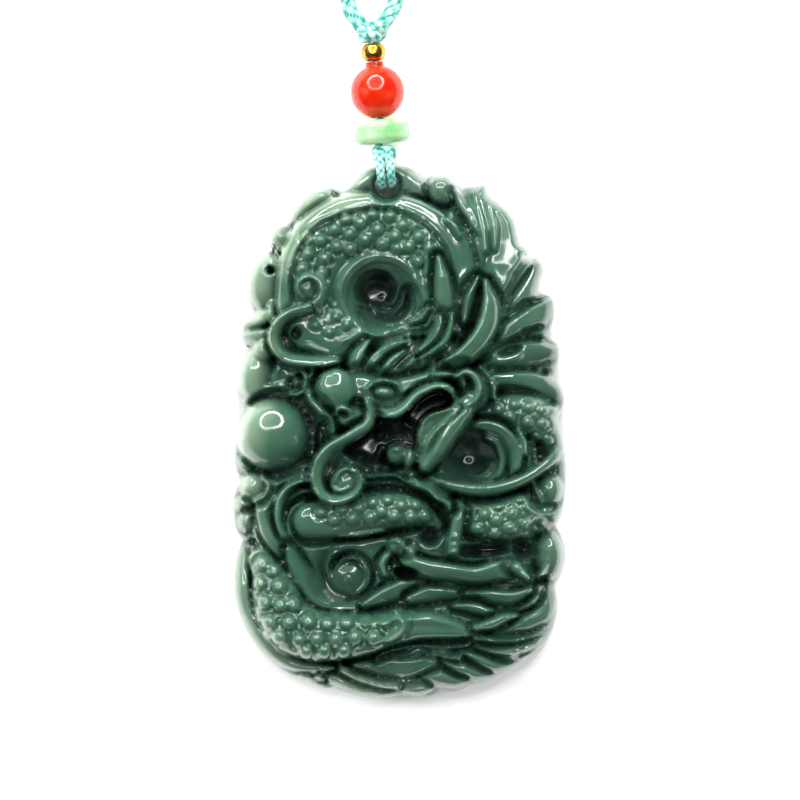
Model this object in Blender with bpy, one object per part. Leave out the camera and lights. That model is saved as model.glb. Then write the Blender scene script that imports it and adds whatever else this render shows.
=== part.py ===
"""Jade dragon pendant with its beads and neck cord, as solids.

The carving is a height field: strokes laid in painter's order, each a rounded form along a route or round a centre.
It lies on its back, carving up, and its top points along +Y. Drawing units are millimetres.
"""

import math

import bpy
import numpy as np

MM = 0.001

# Driving sizes in mm.
WIDTH = 37.2
LENGTH = 59.5
THICKNESS = 11.2
HOLE_DIAMETER = 2.6
DISC_DIAMETER = 6.3
DISC_THICKNESS = 2.4
RED_DIAMETER = 6.0
GOLD_DIAMETER = 2.6
GOLD_LENGTH = 2.1
STRAND_DIAMETER = 0.8
CORE_DIAMETER = 1.2
NECK_DIAMETER = 1.8
COIL_DIAMETER = 20.0
COIL_SECTION = 6.4
GAP = 0.3

# How the plaque is cut. Heights are drawn for a plaque this thick, and stretched to the thickness above.
DRAWN_THICKNESS = 11.2
BACKGROUND = 4.6
EDGE_FRONT = 2.1
EDGE_BACK = 1.5
EDGE_ROUND = 1.3
ROUNDNESS = 0.39
CELLS_PER_MM = 5
CELL = 1 / CELLS_PER_MM
SPARE_CELLS = (2, 3)
POLISH = 0.22
MESH_ACROSS = 110
MESH_ALONG = 174
KEPT_SHARE = 0.148

# The hanging cord runs from the hole along a line that leans to the left.
HOLE_AT = (-1.4, 27.7)
CORD_LEAN = math.radians(5.8)
AXIS_HEIGHT = DISC_DIAMETER / 2
BORE = CORE_DIAMETER + 2 * GAP
EDGE_ABOVE_HOLE = 2.2
LOWER_KNOT = (1.2, 0.7, 1.1)
UPPER_KNOT = (1.8, 1.2, 1.5)
CHANNEL_DEPTH = 1.9
CHANNEL_LENGTH = 5.0
NECK_SPREAD = 2.7
COIL_BEYOND_KNOT = 20.0

# Each strand of the loop, from the front of the pendant through the hole to its back: (along the cord, height).
LOOP_ROUTE = (
    (2.6, 4.9), (1.9, 5.9), (1.0, 6.1), (0.3, 5.7), (0.0, 4.6), (0.0, 3.0), (0.0, 1.7), (0.3, 0.95), (0.9, 0.75),
    (1.8, 0.75), (2.6, 1.1),
)

# The outline from notch to notch, clockwise from the top. Each row is a notch and the lobe that follows it.
OUTLINE = (
    ((-6.4, 27.1), (-5.5, 27.9), (-4.3, 29.1), (-3.0, 29.7), (-1.4, 29.9), (0.2, 29.85), (1.4, 29.55), (2.1, 29.0)),
    ((3.0, 28.5), (3.7, 28.85), (4.7, 28.95), (5.6, 28.8), (6.1, 28.3)),
    ((6.9, 27.4), (7.6, 27.65)),
    ((8.6, 27.75), (9.2, 27.9), (9.7, 27.6), (9.95, 26.85), (11.2, 25.85), (12.3, 24.9), (13.1, 23.6), (13.4, 22.2)),
    ((13.6, 21.3), (14.3, 20.7), (14.5, 20.2)),
    ((14.35, 19.7), (15.3, 19.55), (15.95, 19.0), (16.1, 18.1), (15.8, 16.9)),
    ((15.6, 15.8), (16.9, 15.25), (17.3, 14.5), (17.3, 13.2), (17.0, 11.8)),
    ((16.8, 10.6), (17.6, 10.0), (17.9, 9.2), (17.7, 7.8)),
    ((17.2, 6.2), (18.0, 5.4), (18.4, 4.0), (18.2, 2.7)),
    ((17.7, 1.7), (18.1, 0.1), (18.45, -2.0), (18.6, -4.8), (18.4, -7.6), (18.1, -9.2)),
    ((17.5, -10.3), (18.3, -12.0), (18.55, -13.8), (18.1, -15.6)),
    ((17.3, -16.9), (17.65, -18.6), (17.5, -20.6), (16.7, -22.8), (15.2, -24.5)),
    ((13.9, -25.2), (12.5, -26.15), (10.8, -27.15), (9.2, -27.8)),
    ((7.7, -28.1), (6.9, -28.65), (5.8, -28.9)),
    ((4.7, -28.75), (3.6, -29.35), (2.2, -29.6), (1.1, -29.5)),
    ((0.4, -29.25), (-0.8, -29.5), (-2.4, -29.6), (-4.2, -29.4), (-6.0, -28.95)),
    ((-7.2, -28.35), (-8.3, -28.5), (-9.3, -28.15)),
    ((-9.9, -27.75), (-12.2, -26.95), (-14.3, -25.5), (-16.3, -23.4), (-17.7, -20.8), (-18.5, -18.0),
     (-18.55, -15.4), (-18.1, -13.2)),
    ((-17.5, -11.9), (-18.25, -10.8), (-18.55, -9.0), (-18.55, -7.2), (-18.2, -6.0)),
    ((-17.7, -5.2), (-18.25, -4.0), (-18.4, -2.4), (-18.2, -0.4), (-17.8, 1.5)),
    ((-17.2, 2.7), (-17.9, 4.0), (-18.15, 5.6), (-17.95, 7.2), (-17.4, 8.7)),
    ((-16.9, 9.6), (-17.6, 10.3), (-17.75, 11.3), (-17.4, 12.4)),
    ((-16.1, 13.4), (-16.75, 14.5), (-17.05, 16.0), (-16.9, 17.6), (-16.2, 19.2), (-15.1, 20.2)),
    ((-14.0, 20.6), (-14.6, 21.3), (-14.5, 22.3), (-13.7, 23.25)),
    ((-12.5, 23.3), (-12.35, 24.3), (-11.7, 25.6), (-10.4, 27.0), (-9.0, 27.65), (-7.9, 27.6)),
)


def mix(a, b, start, end, at):
    """The blend of a at start and b at end."""
    return ((end - at) * a + (at - start) * b) / (end - start)


def curve_through(points, step):
    """Points about step apart on a centripetal Catmull-Rom curve through the given ones."""
    p = np.asarray(points, float)
    q = np.vstack([2 * p[0] - p[1], p, 2 * p[-1] - p[-2]])
    out = []
    for four in zip(q, q[1:], q[2:], q[3:]):
        t = np.cumsum([0.0] + [np.linalg.norm(v - u) ** 0.5 for u, v in zip(four, four[1:])])
        count = max(2, int(np.linalg.norm(four[2] - four[1]) / step) + 1)
        s = np.linspace(t[1], t[2], count, endpoint=False)[:, None]
        one = [mix(four[i], four[i + 1], t[i], t[i + 1], s) for i in range(3)]
        two = [mix(one[i], one[i + 1], t[i], t[i + 2], s) for i in range(2)]
        out.append(mix(two[0], two[1], t[1], t[2], s))
    out.append(p[-1:])
    return np.vstack(out)


def outline_loop():
    """The closed outline at its drawn size."""
    out = []
    for lobe, following in zip(OUTLINE, OUTLINE[1:] + OUTLINE[:1]):
        out.append(curve_through(list(lobe) + [following[0]], CELL)[:-1])
    return np.vstack(out)


def inside_distance(x, y, loop):
    """How far each grid point lies inside the closed loop, negative outside it."""
    px, py = x.ravel(), y.ravel()
    edge = np.roll(loop, -1, axis=0) - loop
    square = (edge**2).sum(1)
    nearest = np.empty(len(px))
    for i in range(0, len(px), 4000):
        qx = px[i : i + 4000, None] - loop[:, 0]
        qy = py[i : i + 4000, None] - loop[:, 1]
        t = np.clip((qx * edge[:, 0] + qy * edge[:, 1]) / square, 0, 1)
        nearest[i : i + 4000] = np.hypot(qx - t * edge[:, 0], qy - t * edge[:, 1]).min(1)
    inside = np.zeros(len(px), bool)
    for (x0, y0), (dx, dy) in zip(loop, edge):
        if dy:
            inside ^= ((y0 > py) != (y0 + dy > py)) & (px < dx * (py - y0) / dy + x0)
    return np.where(inside, nearest, -nearest).reshape(x.shape)


# The drawing's outline and how it is centred and stretched to the driving sizes.
LOOP = outline_loop()
CENTRE = (*((LOOP.min(0) + LOOP.max(0)) / 2), 0.0)
STRETCH = (*((WIDTH, LENGTH) / np.ptp(LOOP, axis=0)), THICKNESS / DRAWN_THICKNESS)


def placed(points):
    """Drawn points at their place and size on the plaque."""
    return (np.asarray(points) - CENTRE) * STRETCH


class Relief:
    """A height field that strokes carve in painter's order, the lowest forms first."""

    def __init__(self):
        first = (np.floor(LOOP.min(0) * CELLS_PER_MM) - SPARE_CELLS) / CELLS_PER_MM
        last = (np.ceil(LOOP.max(0) * CELLS_PER_MM) + SPARE_CELLS) / CELLS_PER_MM
        self.x = np.arange(first[0], last[0] + CELL / 2, CELL)
        self.y = np.arange(first[1], last[1] + CELL / 2, CELL)
        self.gx, self.gy = np.meshgrid(self.x, self.y)
        self.inside = inside_distance(self.gx, self.gy, LOOP)
        self.h = np.full(self.gx.shape, BACKGROUND)

    def window(self, low, high):
        """The slices of the grid between two corners."""
        i0, i1 = np.searchsorted(self.x, (low[0], high[0]))
        j0, j1 = np.searchsorted(self.y, (low[1], high[1]))
        return slice(max(j0 - 1, 0), j1 + 1), slice(max(i0 - 1, 0), i1 + 1)

    def near(self, route, reach):
        """The window round a route, with each point's distance from it and how far along it that is."""
        line = curve_through(route, CELL)
        w = self.window(line.min(0) - reach, line.max(0) + reach)
        px, py = self.gx[w].ravel(), self.gy[w].ravel()
        seg = np.diff(line, axis=0)
        size = np.linalg.norm(seg, axis=1)
        along = np.concatenate([[0], np.cumsum(size)])
        closest = np.concatenate([
            ((px[i : i + 20000, None] - line[:, 0]) ** 2 + (py[i : i + 20000, None] - line[:, 1]) ** 2).argmin(1)
            for i in range(0, len(px), 20000)
        ])
        dist = np.full(len(px), 1e9)
        at, side = np.zeros(len(px)), np.ones(len(px))
        for k in (np.clip(closest - 1, 0, len(seg) - 1), np.clip(closest, 0, len(seg) - 1)):
            qx, qy = px - line[k, 0], py - line[k, 1]
            t = np.clip((qx * seg[k, 0] + qy * seg[k, 1]) / size[k] ** 2, 0, 1)
            d = np.hypot(qx - t * seg[k, 0], qy - t * seg[k, 1])
            nearer = d < dist
            dist = np.where(nearer, d, dist)
            at = np.where(nearer, along[k] + t * size[k], at)
            left = seg[k, 0] * qy - seg[k, 1] * qx >= 0
            side = np.where(nearer, np.where(left, 1.0, -1.0), side)
        shape = self.gx[w].shape
        return w, (dist * side).reshape(shape), (at / along[-1]).reshape(shape), at.reshape(shape)

    @staticmethod
    def along(value, share):
        """A size given once, or at even steps along a route."""
        value = np.atleast_1d(np.asarray(value, float))
        return np.interp(share, np.linspace(0, 1, len(value)), value)

    def lay(self, w, inside, body, beside, over):
        """Puts a form in its place: over what is there, or cut in with its own banks."""
        h = self.h[w]
        if over:
            self.h[w] = np.where(inside, np.maximum(h, body), h)
        else:
            self.h[w] = np.where(inside, body, np.minimum(h, beside))

    def ridge(self, route, half, crest, foot, form=2.0, lean=0.0, bank=1.7, over=False):
        """A rounded ridge along a route, standing on foot between banks that rise to what is beside it."""
        w, d, share, _ = self.near(route, float(np.max(half)) + 2.5)
        half, crest, foot = (self.along(v, share) for v in (half, crest, foot))
        t = d / half
        t = np.abs(np.where(t > lean, (t - lean) / (1 - lean), (t - lean) / (1 + lean)))
        body = foot + (crest - foot) * np.sqrt(np.clip(1 - t**form, 0, 1))
        self.lay(w, t < 1, body, foot + bank * (np.abs(d) - half), over)

    def oval(self, centre, radii, reach, turn):
        """The window round an oval, and each point's distance from its centre in shares of its radii."""
        reach += max(radii)
        w = self.window(np.subtract(centre, reach), np.add(centre, reach))
        c, s = math.cos(math.radians(turn)), math.sin(math.radians(turn))
        dx, dy = self.gx[w] - centre[0], self.gy[w] - centre[1]
        return w, np.hypot((dx * c + dy * s) / radii[0], (dy * c - dx * s) / radii[1])

    def boss(self, centre, radii, crest, foot, turn=0.0, bank=1.7, over=False):
        """An oval mound."""
        w, t = self.oval(centre, radii, 2.5, turn)
        body = foot + (crest - foot) * np.sqrt(np.clip(1 - t**2, 0, 1))
        self.lay(w, t < 1, body, foot + bank * (t - 1) * min(radii), over)

    def bowl(self, centre, radii, floor, rise, turn=0.0, wall=3.0):
        """A hollow: its floor climbs by rise to its edge, where a steeper wall starts."""
        w, t = self.oval(centre, radii, 2.0, turn)
        body = floor + rise * t**2 + np.maximum(t - 1, 0) * min(radii) * wall
        self.h[w] = np.minimum(self.h[w], body)

    def scales(self, route, half, pitch, rise):
        """Pebbled scales in staggered rows along a band."""
        w, d, share, at = self.near(route, float(np.max(half)))
        half = self.along(half, share)
        row_gap = pitch * 0.86
        row = np.round(d / row_gap)
        nearest = np.full(d.shape, 9.0)
        for r in (row - 1, row, row + 1):
            shift = 0.5 * np.mod(r, 2)
            column = np.round(at / pitch - shift) + shift
            nearest = np.minimum(nearest, np.hypot(at - column * pitch, d - r * row_gap))
        bump = rise * (1 - np.minimum(nearest / (0.56 * pitch), 1.3) ** 2.4)
        fade = np.clip((1 - np.abs(d) / half) / 0.2, 0, 1) * np.clip(np.minimum(share, 1 - share) / 0.03, 0, 1)
        self.h[w] += bump * fade

    def polish(self):
        """Softens every edge a little, as polishing does."""
        n = math.ceil(3 * POLISH / CELL)
        weights = np.exp(-0.5 * (np.arange(-n, n + 1) * CELL / POLISH) ** 2)
        weights /= weights.sum()
        rows, columns = self.h.shape
        padded = np.pad(self.h, ((n, n), (0, 0)), mode="edge")
        self.h = sum(k * padded[i : i + rows] for i, k in enumerate(weights))
        padded = np.pad(self.h, ((0, 0), (n, n)), mode="edge")
        self.h = sum(k * padded[:, i : i + columns] for i, k in enumerate(weights))

    def sample(self, grid, x, y):
        """The grid's value between its points."""
        u, v = (x - self.x[0]) / CELL, (y - self.y[0]) / CELL
        i, j = np.floor(u).astype(int), np.floor(v).astype(int)
        u, v = u - i, v - j
        low = grid[j, i] * (1 - u) + grid[j, i + 1] * u
        high = grid[j + 1, i] * (1 - u) + grid[j + 1, i + 1] * u
        return low * (1 - v) + high * v

    def front(self, x, y):
        """Height of the finished front, rounded off towards the edge."""
        t = np.clip(self.sample(self.inside, x, y) / EDGE_ROUND, 0, 1)
        return EDGE_FRONT + (self.sample(self.h, x, y) - EDGE_FRONT) * np.sqrt(1 - (1 - t) ** 2)


def carve_rim(r):
    """One soft lobe of cloud along each scallop of the outline."""
    for lobe, following in zip(OUTLINE, OUTLINE[1:] + OUTLINE[:1]):
        span = math.dist(lobe[0], following[0])
        inset = min(1.5, 0.38 * span)
        route = []
        for x, y in lobe[1:]:
            out_x, out_y = x, y * ROUNDNESS
            size = math.hypot(out_x, out_y)
            route.append((x - inset * out_x / size, y - inset * out_y / size))
        if len(route) > 1:
            r.ridge(route, inset * 1.05, 5.3, 3.4, form=2.4, bank=1.2)
        else:
            r.boss(route[0], (inset, inset), 5.3, 3.4)


def carve_clouds(r):
    """Low clouds inside the rim and the hollows between them."""
    r.boss((-15.0, 17.4), (2.0, 3.1), 5.6, 3.8, turn=-8)
    r.bowl((-14.3, 18.1), (0.6, 0.6), 3.2, 1.0)
    r.boss((-14.6, 12.6), (1.5, 2.2), 4.6, 3.2)
    r.boss((-16.0, 11.2), (1.4, 1.6), 5.2, 3.6)
    r.boss((-15.6, 7.2), (2.2, 2.6), 5.4, 3.4)
    r.bowl((-13.2, 7.6), (1.3, 2.2), 2.8, 1.4, turn=-10)
    r.ridge([(-17.0, 4.2), (-14.6, 5.2), (-12.2, 5.6)], 0.85, 5.6, 3.8)
    r.boss((-17.0, -2.9), (1.2, 1.3), 5.2, 3.6)
    r.ridge([(-12.8, 22.0), (-11.0, 25.0), (-8.6, 26.4)], 1.0, 5.0, 3.8)
    r.ridge([(-6.0, 26.6), (-3.5, 28.2), (-1.0, 28.6), (1.6, 28.0)], 1.2, 5.2, 4.0)
    r.ridge([(3.0, 27.0), (5.0, 27.4), (7.0, 26.2)], 1.1, 5.2, 4.0)
    r.boss((16.8, -13.5), (1.5, 2.7), 6.4, 4.2)
    r.boss((16.7, -6.3), (1.6, 1.9), 7.0, 4.6)
    r.bowl((9.5, -13.1), (4.2, 1.0), 3.4, 1.6, turn=4)
    r.bowl((3.4, -11.5), (1.8, 1.9), 3.2, 1.4)


def carve_petals(r):
    """Leaves along the bottom and the fan of the tail at the lower right, the outermost first."""
    r.ridge([(-13.4, -25.2), (-11.4, -26.4), (-9.4, -27.2)], 1.1, 5.2, 3.6)
    r.boss((-8.4, -26.9), (1.0, 1.0), 5.6, 3.8)
    r.ridge([(-6.8, -27.6), (-3.5, -28.6), (0.4, -28.4)], 1.0, 5.2, 3.8)
    r.ridge([(-5.8, -26.7), (-3.2, -26.9), (-0.5, -27.2), (2.0, -28.0)], 1.0, 6.0, 4.2)
    r.ridge([(7.4, -24.4), (10.8, -26.0), (12.9, -25.6), (14.2, -24.6)], (0.9, 1.0, 1.0, 0.5), 6.2, 4.4)
    for start, middle, tip in (
        ((4.8, -25.0), (7.6, -26.9), (9.6, -27.2)),
        ((2.0, -25.8), (4.8, -27.4), (7.0, -27.9)),
    ):
        r.ridge([start, middle, tip], (0.9, 1.0, 0.5), 6.3, 4.6)
    r.ridge([(-5.0, -25.8), (-2.2, -25.7), (0.4, -25.0), (3.2, -24.7)], (0.7, 1.0, 1.1, 0.6), 7.0, 4.8)
    r.ridge([(3.6, -24.1), (5.0, -24.4), (6.6, -25.1)], (0.8, 0.9, 0.4), 7.0, 5.0)
    for route in (
        [(8.4, -24.0), (12.0, -24.4), (15.2, -23.4), (16.6, -22.0)],
        [(8.4, -22.9), (12.0, -23.0), (15.0, -22.0), (16.8, -20.6)],
        [(8.7, -21.4), (11.4, -21.4), (14.4, -20.6), (16.8, -18.8)],
        [(11.5, -20.2), (14.2, -19.8), (15.9, -18.6), (16.8, -16.9)],
    ):
        r.ridge(route, (0.6, 0.9, 0.9, 0.4), (7.4, 7.7, 6.8, 5.3), 5.0)


def carve_mane(r):
    """The mane: one tall flame at the top right and locks that sweep out to the right edge."""
    r.ridge([(6.4, 26.4), (7.6, 24.9), (8.6, 22.6)], (0.6, 0.9, 0.6), (5.6, 6.4, 7.4), 4.4)
    r.ridge([(13.0, 23.0), (13.0, 20.5), (12.6, 17.5), (12.0, 15.2)], (0.6, 1.3, 1.5, 1.0), (5.4, 6.4, 7.2, 7.6), 4.6)
    r.ridge([(9.3, 27.3), (10.2, 24.8), (11.2, 21.6), (11.4, 18.0), (11.0, 15.0)], (0.5, 1.5, 1.9, 1.7, 1.2),
            (5.4, 6.8, 7.8, 8.4, 8.6), 4.8, lean=-0.2)
    r.ridge([(8.7, 26.8), (9.0, 24.4), (9.6, 21.8), (9.8, 19.0)], (0.4, 0.7, 0.7, 0.5), (5.6, 7.2, 8.2, 8.6), 5.4)
    for route in (
        [(11.4, 11.4), (12.9, 13.9), (14.6, 16.6), (15.6, 18.9)],
        [(10.6, 9.7), (13.0, 11.4), (15.0, 13.2), (16.9, 15.0)],
        [(10.4, 7.9), (13.0, 9.0), (15.2, 10.3), (17.0, 12.6)],
        [(10.6, 6.6), (13.2, 7.4), (15.8, 8.4), (17.6, 9.4)],
        [(10.6, 4.8), (13.4, 5.4), (16.2, 5.2), (18.2, 4.2)],
    ):
        r.ridge(route, (0.9, 1.2, 1.2, 0.5), (8.5, 7.8, 6.8, 5.1), 4.6, lean=0.2)


def carve_side_ring(r):
    """The pit at the right with its rings and the scaly body behind it."""
    behind = [(10.5, 2.2), (13.5, 1.8), (16.6, 0.6), (17.4, -2.0)]
    r.ridge(behind, (1.6, 1.9, 1.6, 1.0), (8.0, 8.0, 6.8, 6.0), 4.8)
    r.scales(behind, 1.7, 1.6, 0.35)
    r.ridge([(7.4, 0.2), (9.8, 0.9), (12.3, -0.4), (13.4, -2.8), (12.9, -5.0)], 0.75, 8.2, 5.4)
    r.ridge([(9.4, -0.3), (11.1, -1.4), (11.7, -3.0), (11.1, -4.9)], 0.75, 7.2, 4.8)
    r.bowl((8.0, -2.8), (2.6, 2.4), 3.2, 1.6)
    r.ridge([(6.6, -4.9), (8.4, -4.6), (10.2, -3.2)], 0.6, 6.0, 3.8)


def carve_bodies(r):
    """The coils of the body that cross the lower half, with their scales."""
    right = [(5.2, -8.4), (8.0, -9.6), (11.6, -9.9), (15.0, -9.1), (18.0, -7.4)]
    r.ridge(right, (1.6, 2.4, 2.6, 2.4, 1.6), (8.8, 9.4, 9.4, 8.4, 6.4), 5.2, form=2.6)
    r.scales(right, (1.5, 2.1, 2.3, 2.1, 1.4), 1.9, 0.45)
    middle = [(-12.4, -9.6), (-9.0, -9.6), (-5.0, -9.2), (-1.0, -8.6), (2.4, -8.8), (4.2, -10.0)]
    r.ridge(middle, (1.6, 2.3, 2.4, 2.2, 1.9, 1.0), (8.0, 9.2, 9.4, 9.4, 9.2, 7.6), 5.2, form=2.6)
    r.scales(middle, (1.4, 2.0, 2.1, 1.9, 1.5, 0.8), 1.9, 0.45)
    r.boss((-17.4, -7.6), (1.0, 1.1), 5.6, 3.8)
    r.boss((-16.6, -9.6), (1.1, 1.2), 5.8, 4.0)
    r.ridge([(-15.6, -7.2), (-15.8, -9.8), (-14.6, -12.4), (-12.6, -13.9)], (0.6, 0.8, 0.8, 0.5), 6.8, 4.4)
    r.ridge([(-9.2, -5.0), (-11.6, -5.4), (-13.6, -6.2), (-14.7, -7.8), (-14.7, -9.6), (-13.6, -11.6),
             (-11.8, -13.3), (-10.0, -14.5)], 0.8, (7.6, 8.4, 8.2, 7.0), 4.8)
    r.ridge([(-9.8, -6.6), (-12.4, -7.2), (-13.5, -8.6), (-13.3, -10.4), (-12.0, -12.0), (-10.2, -12.9)], 0.7,
            (8.6, 8.8, 7.6), 5.4)
    r.boss((-16.2, -5.6), (1.5, 1.5), 6.8, 4.2)
    r.ridge([(-9.4, -15.6), (-8.4, -13.4), (-6.4, -12.5), (-4.0, -12.7)], 0.75, 7.4, 4.6)
    r.boss((-5.5, -16.0), (3.0, 2.9), 6.6, 3.6)
    r.ridge([(-7.9, -16.2), (-7.6, -14.4), (-5.9, -13.4), (-4.0, -13.8), (-3.0, -15.4), (-3.4, -17.2),
             (-5.0, -18.3)], (0.4, 0.7, 0.75, 0.7, 0.4), (6.8, 7.5, 7.6, 7.4, 6.4), 4.6)
    tail = [(-15.6, -14.4), (-15.3, -17.6), (-13.6, -20.4), (-10.6, -22.1), (-6.4, -22.3), (-2.4, -21.6),
            (2.0, -20.9), (6.6, -21.9)]
    r.ridge(tail, (1.2, 2.2, 2.7, 2.7, 2.7, 2.5, 2.1, 1.5), (7.4, 8.8, 9.6, 9.8, 9.8, 9.6, 9.4, 8.6), 5.0, form=2.8)
    r.scales(tail[:6], (1.0, 2.0, 2.5, 2.5, 2.5, 2.2), 2.05, 0.5)
    r.ridge([(-17.3, -13.6), (-17.6, -17.0), (-16.8, -20.2), (-15.2, -23.2), (-12.6, -25.0)], 0.8, 6.2, 4.2)
    r.ridge([(-0.5, -19.6), (0.5, -21.0), (-0.4, -22.6), (-2.0, -23.4)], 0.6, 10.2, 9.0, over=True)


def carve_foot(r):
    """The clawed foot and its arm, and the leaves below them."""
    r.boss((0.2, -17.6), (2.4, 1.5), 7.8, 4.8)
    r.boss((4.3, -17.7), (2.4, 1.4), 7.8, 4.8, turn=-6)
    r.ridge([(6.6, -18.8), (8.6, -18.8), (11.0, -18.0), (13.6, -16.8)], (0.6, 1.1, 1.1, 0.6), 7.8, 4.8)
    r.ridge([(6.6, -20.0), (8.4, -20.0), (10.4, -19.4)], (0.6, 0.9, 0.6), 7.6, 5.0)
    r.ridge([(6.1, -10.6), (5.9, -12.2), (5.8, -13.8)], 0.85, 9.2, 5.2)
    r.ridge([(0.2, -12.6), (1.6, -14.2), (3.4, -15.0), (6.0, -15.0), (8.6, -15.7), (11.0, -15.1), (13.6, -15.2)],
            (1.2, 1.3, 1.2, 1.15, 1.1, 1.1, 1.0), (9.8, 10.0, 9.8, 9.6, 9.4, 9.0, 8.4), 5.0)
    r.boss((-0.3, -12.6), (1.4, 1.3), 10.0, 5.8)
    r.boss((-1.5, -15.0), (1.0, 0.9), 8.8, 5.4)
    r.ridge([(1.0, -5.4), (3.2, -6.1), (5.0, -7.0), (5.8, -8.4)], 0.75, 10.2, 6.2)
    r.ridge([(3.6, -5.0), (6.0, -5.7), (9.0, -6.2), (12.0, -5.7), (15.0, -4.4), (17.4, -2.5), (18.3, -0.8)],
            (0.5, 0.8, 0.85, 0.85, 0.8, 0.75, 0.5), (9.6, 10.2, 10.2, 9.6, 8.6, 7.0, 5.6), 5.8)


def carve_upper_ring(r):
    """The body's arc round the deep upper pit, scaled, with the smooth band outside it."""
    arc = [(-9.6, 11.4), (-9.6, 14.2), (-9.2, 17.6), (-7.8, 20.4), (-5.0, 22.4), (-1.6, 22.9), (1.6, 21.6),
           (3.8, 19.2), (4.6, 16.4)]
    r.ridge(arc, (1.6, 2.2, 2.7, 2.8, 2.7, 2.7, 2.6, 2.2, 1.6), (8.4, 9.4, 9.8, 9.8, 9.0), 6.0, form=3.0)
    r.scales(arc[1:-1], (2.0, 2.5, 2.6, 2.5, 2.5, 2.4, 1.6), 1.95, 0.45)
    r.boss((-7.0, 11.4), (3.6, 2.8), 8.4, 5.0)
    r.ridge([(-12.9, 13.6), (-12.7, 18.2), (-11.8, 21.2), (-10.2, 23.4), (-8.0, 24.8), (-5.0, 25.8),
             (-2.0, 26.0), (1.0, 25.4), (3.6, 24.1), (6.0, 22.2), (7.4, 19.6), (7.8, 16.8)],
            (0.6, 0.85, 0.85, 0.85, 1.2, 1.2), (7.4, 9.0, 9.0, 9.0, 9.0, 8.8), 5.6)
    r.bowl((-2.0, 15.2), (4.3, 4.2), 3.4, 2.6)
    r.ridge([(1.9, 18.2), (2.5, 15.4), (1.4, 12.4), (-1.2, 10.9), (-4.2, 11.6)], 0.7, 8.2, 4.8, over=True)
    r.bowl((-2.3, 15.5), (3.1, 3.0), 3.2, 1.0)
    r.boss((-2.0, 15.2), (0.95, 0.95), 5.0, 3.3)


def carve_brow(r):
    """Ear, brow leaves and the horn band behind the head."""
    r.boss((0.8, 5.2), (8.2, 3.6), 8.6, 5.0, turn=8)
    r.ridge([(8.6, 17.4), (7.4, 14.6), (7.0, 12.0)], (0.8, 1.1, 0.8), 8.6, 6.2)
    r.ridge([(4.0, 19.4), (4.6, 17.0), (5.1, 14.8), (5.6, 12.6)], (0.5, 1.1, 1.1, 0.6), 10.0, 6.2)
    r.ridge([(5.5, 13.6), (5.2, 11.2), (3.8, 9.5), (2.2, 8.4)], 0.75, 10.1, 6.4)
    for route, half in (
        ([(-3.4, 10.4), (-4.6, 8.8), (-5.7, 7.2)], 0.85),
        ([(1.0, 10.4), (-1.5, 9.2), (-3.9, 6.9)], 0.75),
        ([(0.4, 8.9), (-1.0, 7.8), (-2.2, 6.8)], 0.65),
        ([(1.7, 8.2), (0.8, 7.2), (0.0, 6.5)], 0.55),
        ([(3.0, 8.0), (2.2, 7.0), (1.9, 6.4)], 0.55),
    ):
        r.ridge(route, half, 10.0, 6.8)
    r.ridge([(9.8, 16.6), (10.2, 14.6), (9.9, 12.2), (8.6, 9.7), (6.4, 7.7), (4.0, 6.7), (1.2, 6.1)],
            (0.5, 1.0, 1.25, 1.3, 1.3, 1.1, 0.6), (9.6, 10.4, 10.8, 10.8, 10.4), 6.4, lean=0.25)


def carve_head(r):
    """The pearl and the head in profile: cheek, open mouth, snout, eye and lower jaw."""
    r.boss((-13.9, -0.1), (4.4, 4.35), 9.6, 3.4)
    r.boss((7.4, 4.8), (2.6, 2.4), 9.8, 6.0)
    r.ridge([(8.6, 7.3), (9.9, 6.2), (10.4, 4.6), (9.8, 3.0)], 0.55, 9.6, 6.6)
    r.ridge([(6.4, 6.7), (8.0, 6.7), (8.9, 5.2), (8.4, 3.5), (7.3, 3.0)], 0.65, 10.8, 7.4)
    r.boss((7.0, 5.0), (1.1, 1.1), 10.6, 8.2)
    r.bowl((3.6, 3.0), (2.4, 2.4), 3.4, 2.6, turn=-20)
    r.bowl((-1.6, -0.6), (3.6, 2.0), 3.6, 2.4, turn=-14)
    r.boss((-3.4, 4.4), (4.2, 2.2), 10.4, 6.2, turn=-4)
    r.ridge([(-5.2, 2.6), (-2.2, 2.5), (0.2, 3.0), (1.9, 4.2), (3.6, 5.0), (5.2, 5.2), (6.2, 4.4), (6.5, 3.0)],
            (0.6, 0.85, 0.75, 0.4), (10.6, 11.4, 11.2, 10.2), 6.6)
    r.boss((-7.0, 4.8), (2.3, 2.3), 11.4, 6.0)
    r.boss((-11.1, 5.7), (0.95, 0.95), 8.4, 5.2)
    r.ridge([(-9.4, 5.2), (-10.6, 4.8), (-11.9, 4.1)], 0.55, 7.6, 4.8)
    r.boss((-9.1, 2.9), (0.9, 0.8), 8.0, 5.0)
    r.boss((-5.8, 2.1), (0.8, 0.7), 9.6, 6.0)
    r.boss((-7.6, 1.2), (1.2, 0.9), 8.4, 5.2)
    r.ridge([(-3.6, 5.0), (-2.2, 6.0), (-0.6, 5.8), (0.4, 5.0)], 0.45, 11.0, 9.0, over=True)
    r.boss((-1.6, 4.7), (1.0, 0.7), 11.2, 9.2, turn=-6)
    r.ridge([(8.6, 3.6), (7.2, 1.2), (5.3, -0.9), (3.4, -3.0), (2.6, -4.2)], (0.6, 1.2, 1.35, 1.3, 0.9),
            (9.8, 10.8, 11.4, 11.6, 10.8), 6.2)
    r.ridge([(6.3, 2.8), (4.9, 1.0), (3.0, -0.7), (2.2, -2.6)], 0.5, 10.8, 7.4)
    r.boss((-0.1, -2.2), (1.25, 1.2), 9.8, 5.2)


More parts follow.
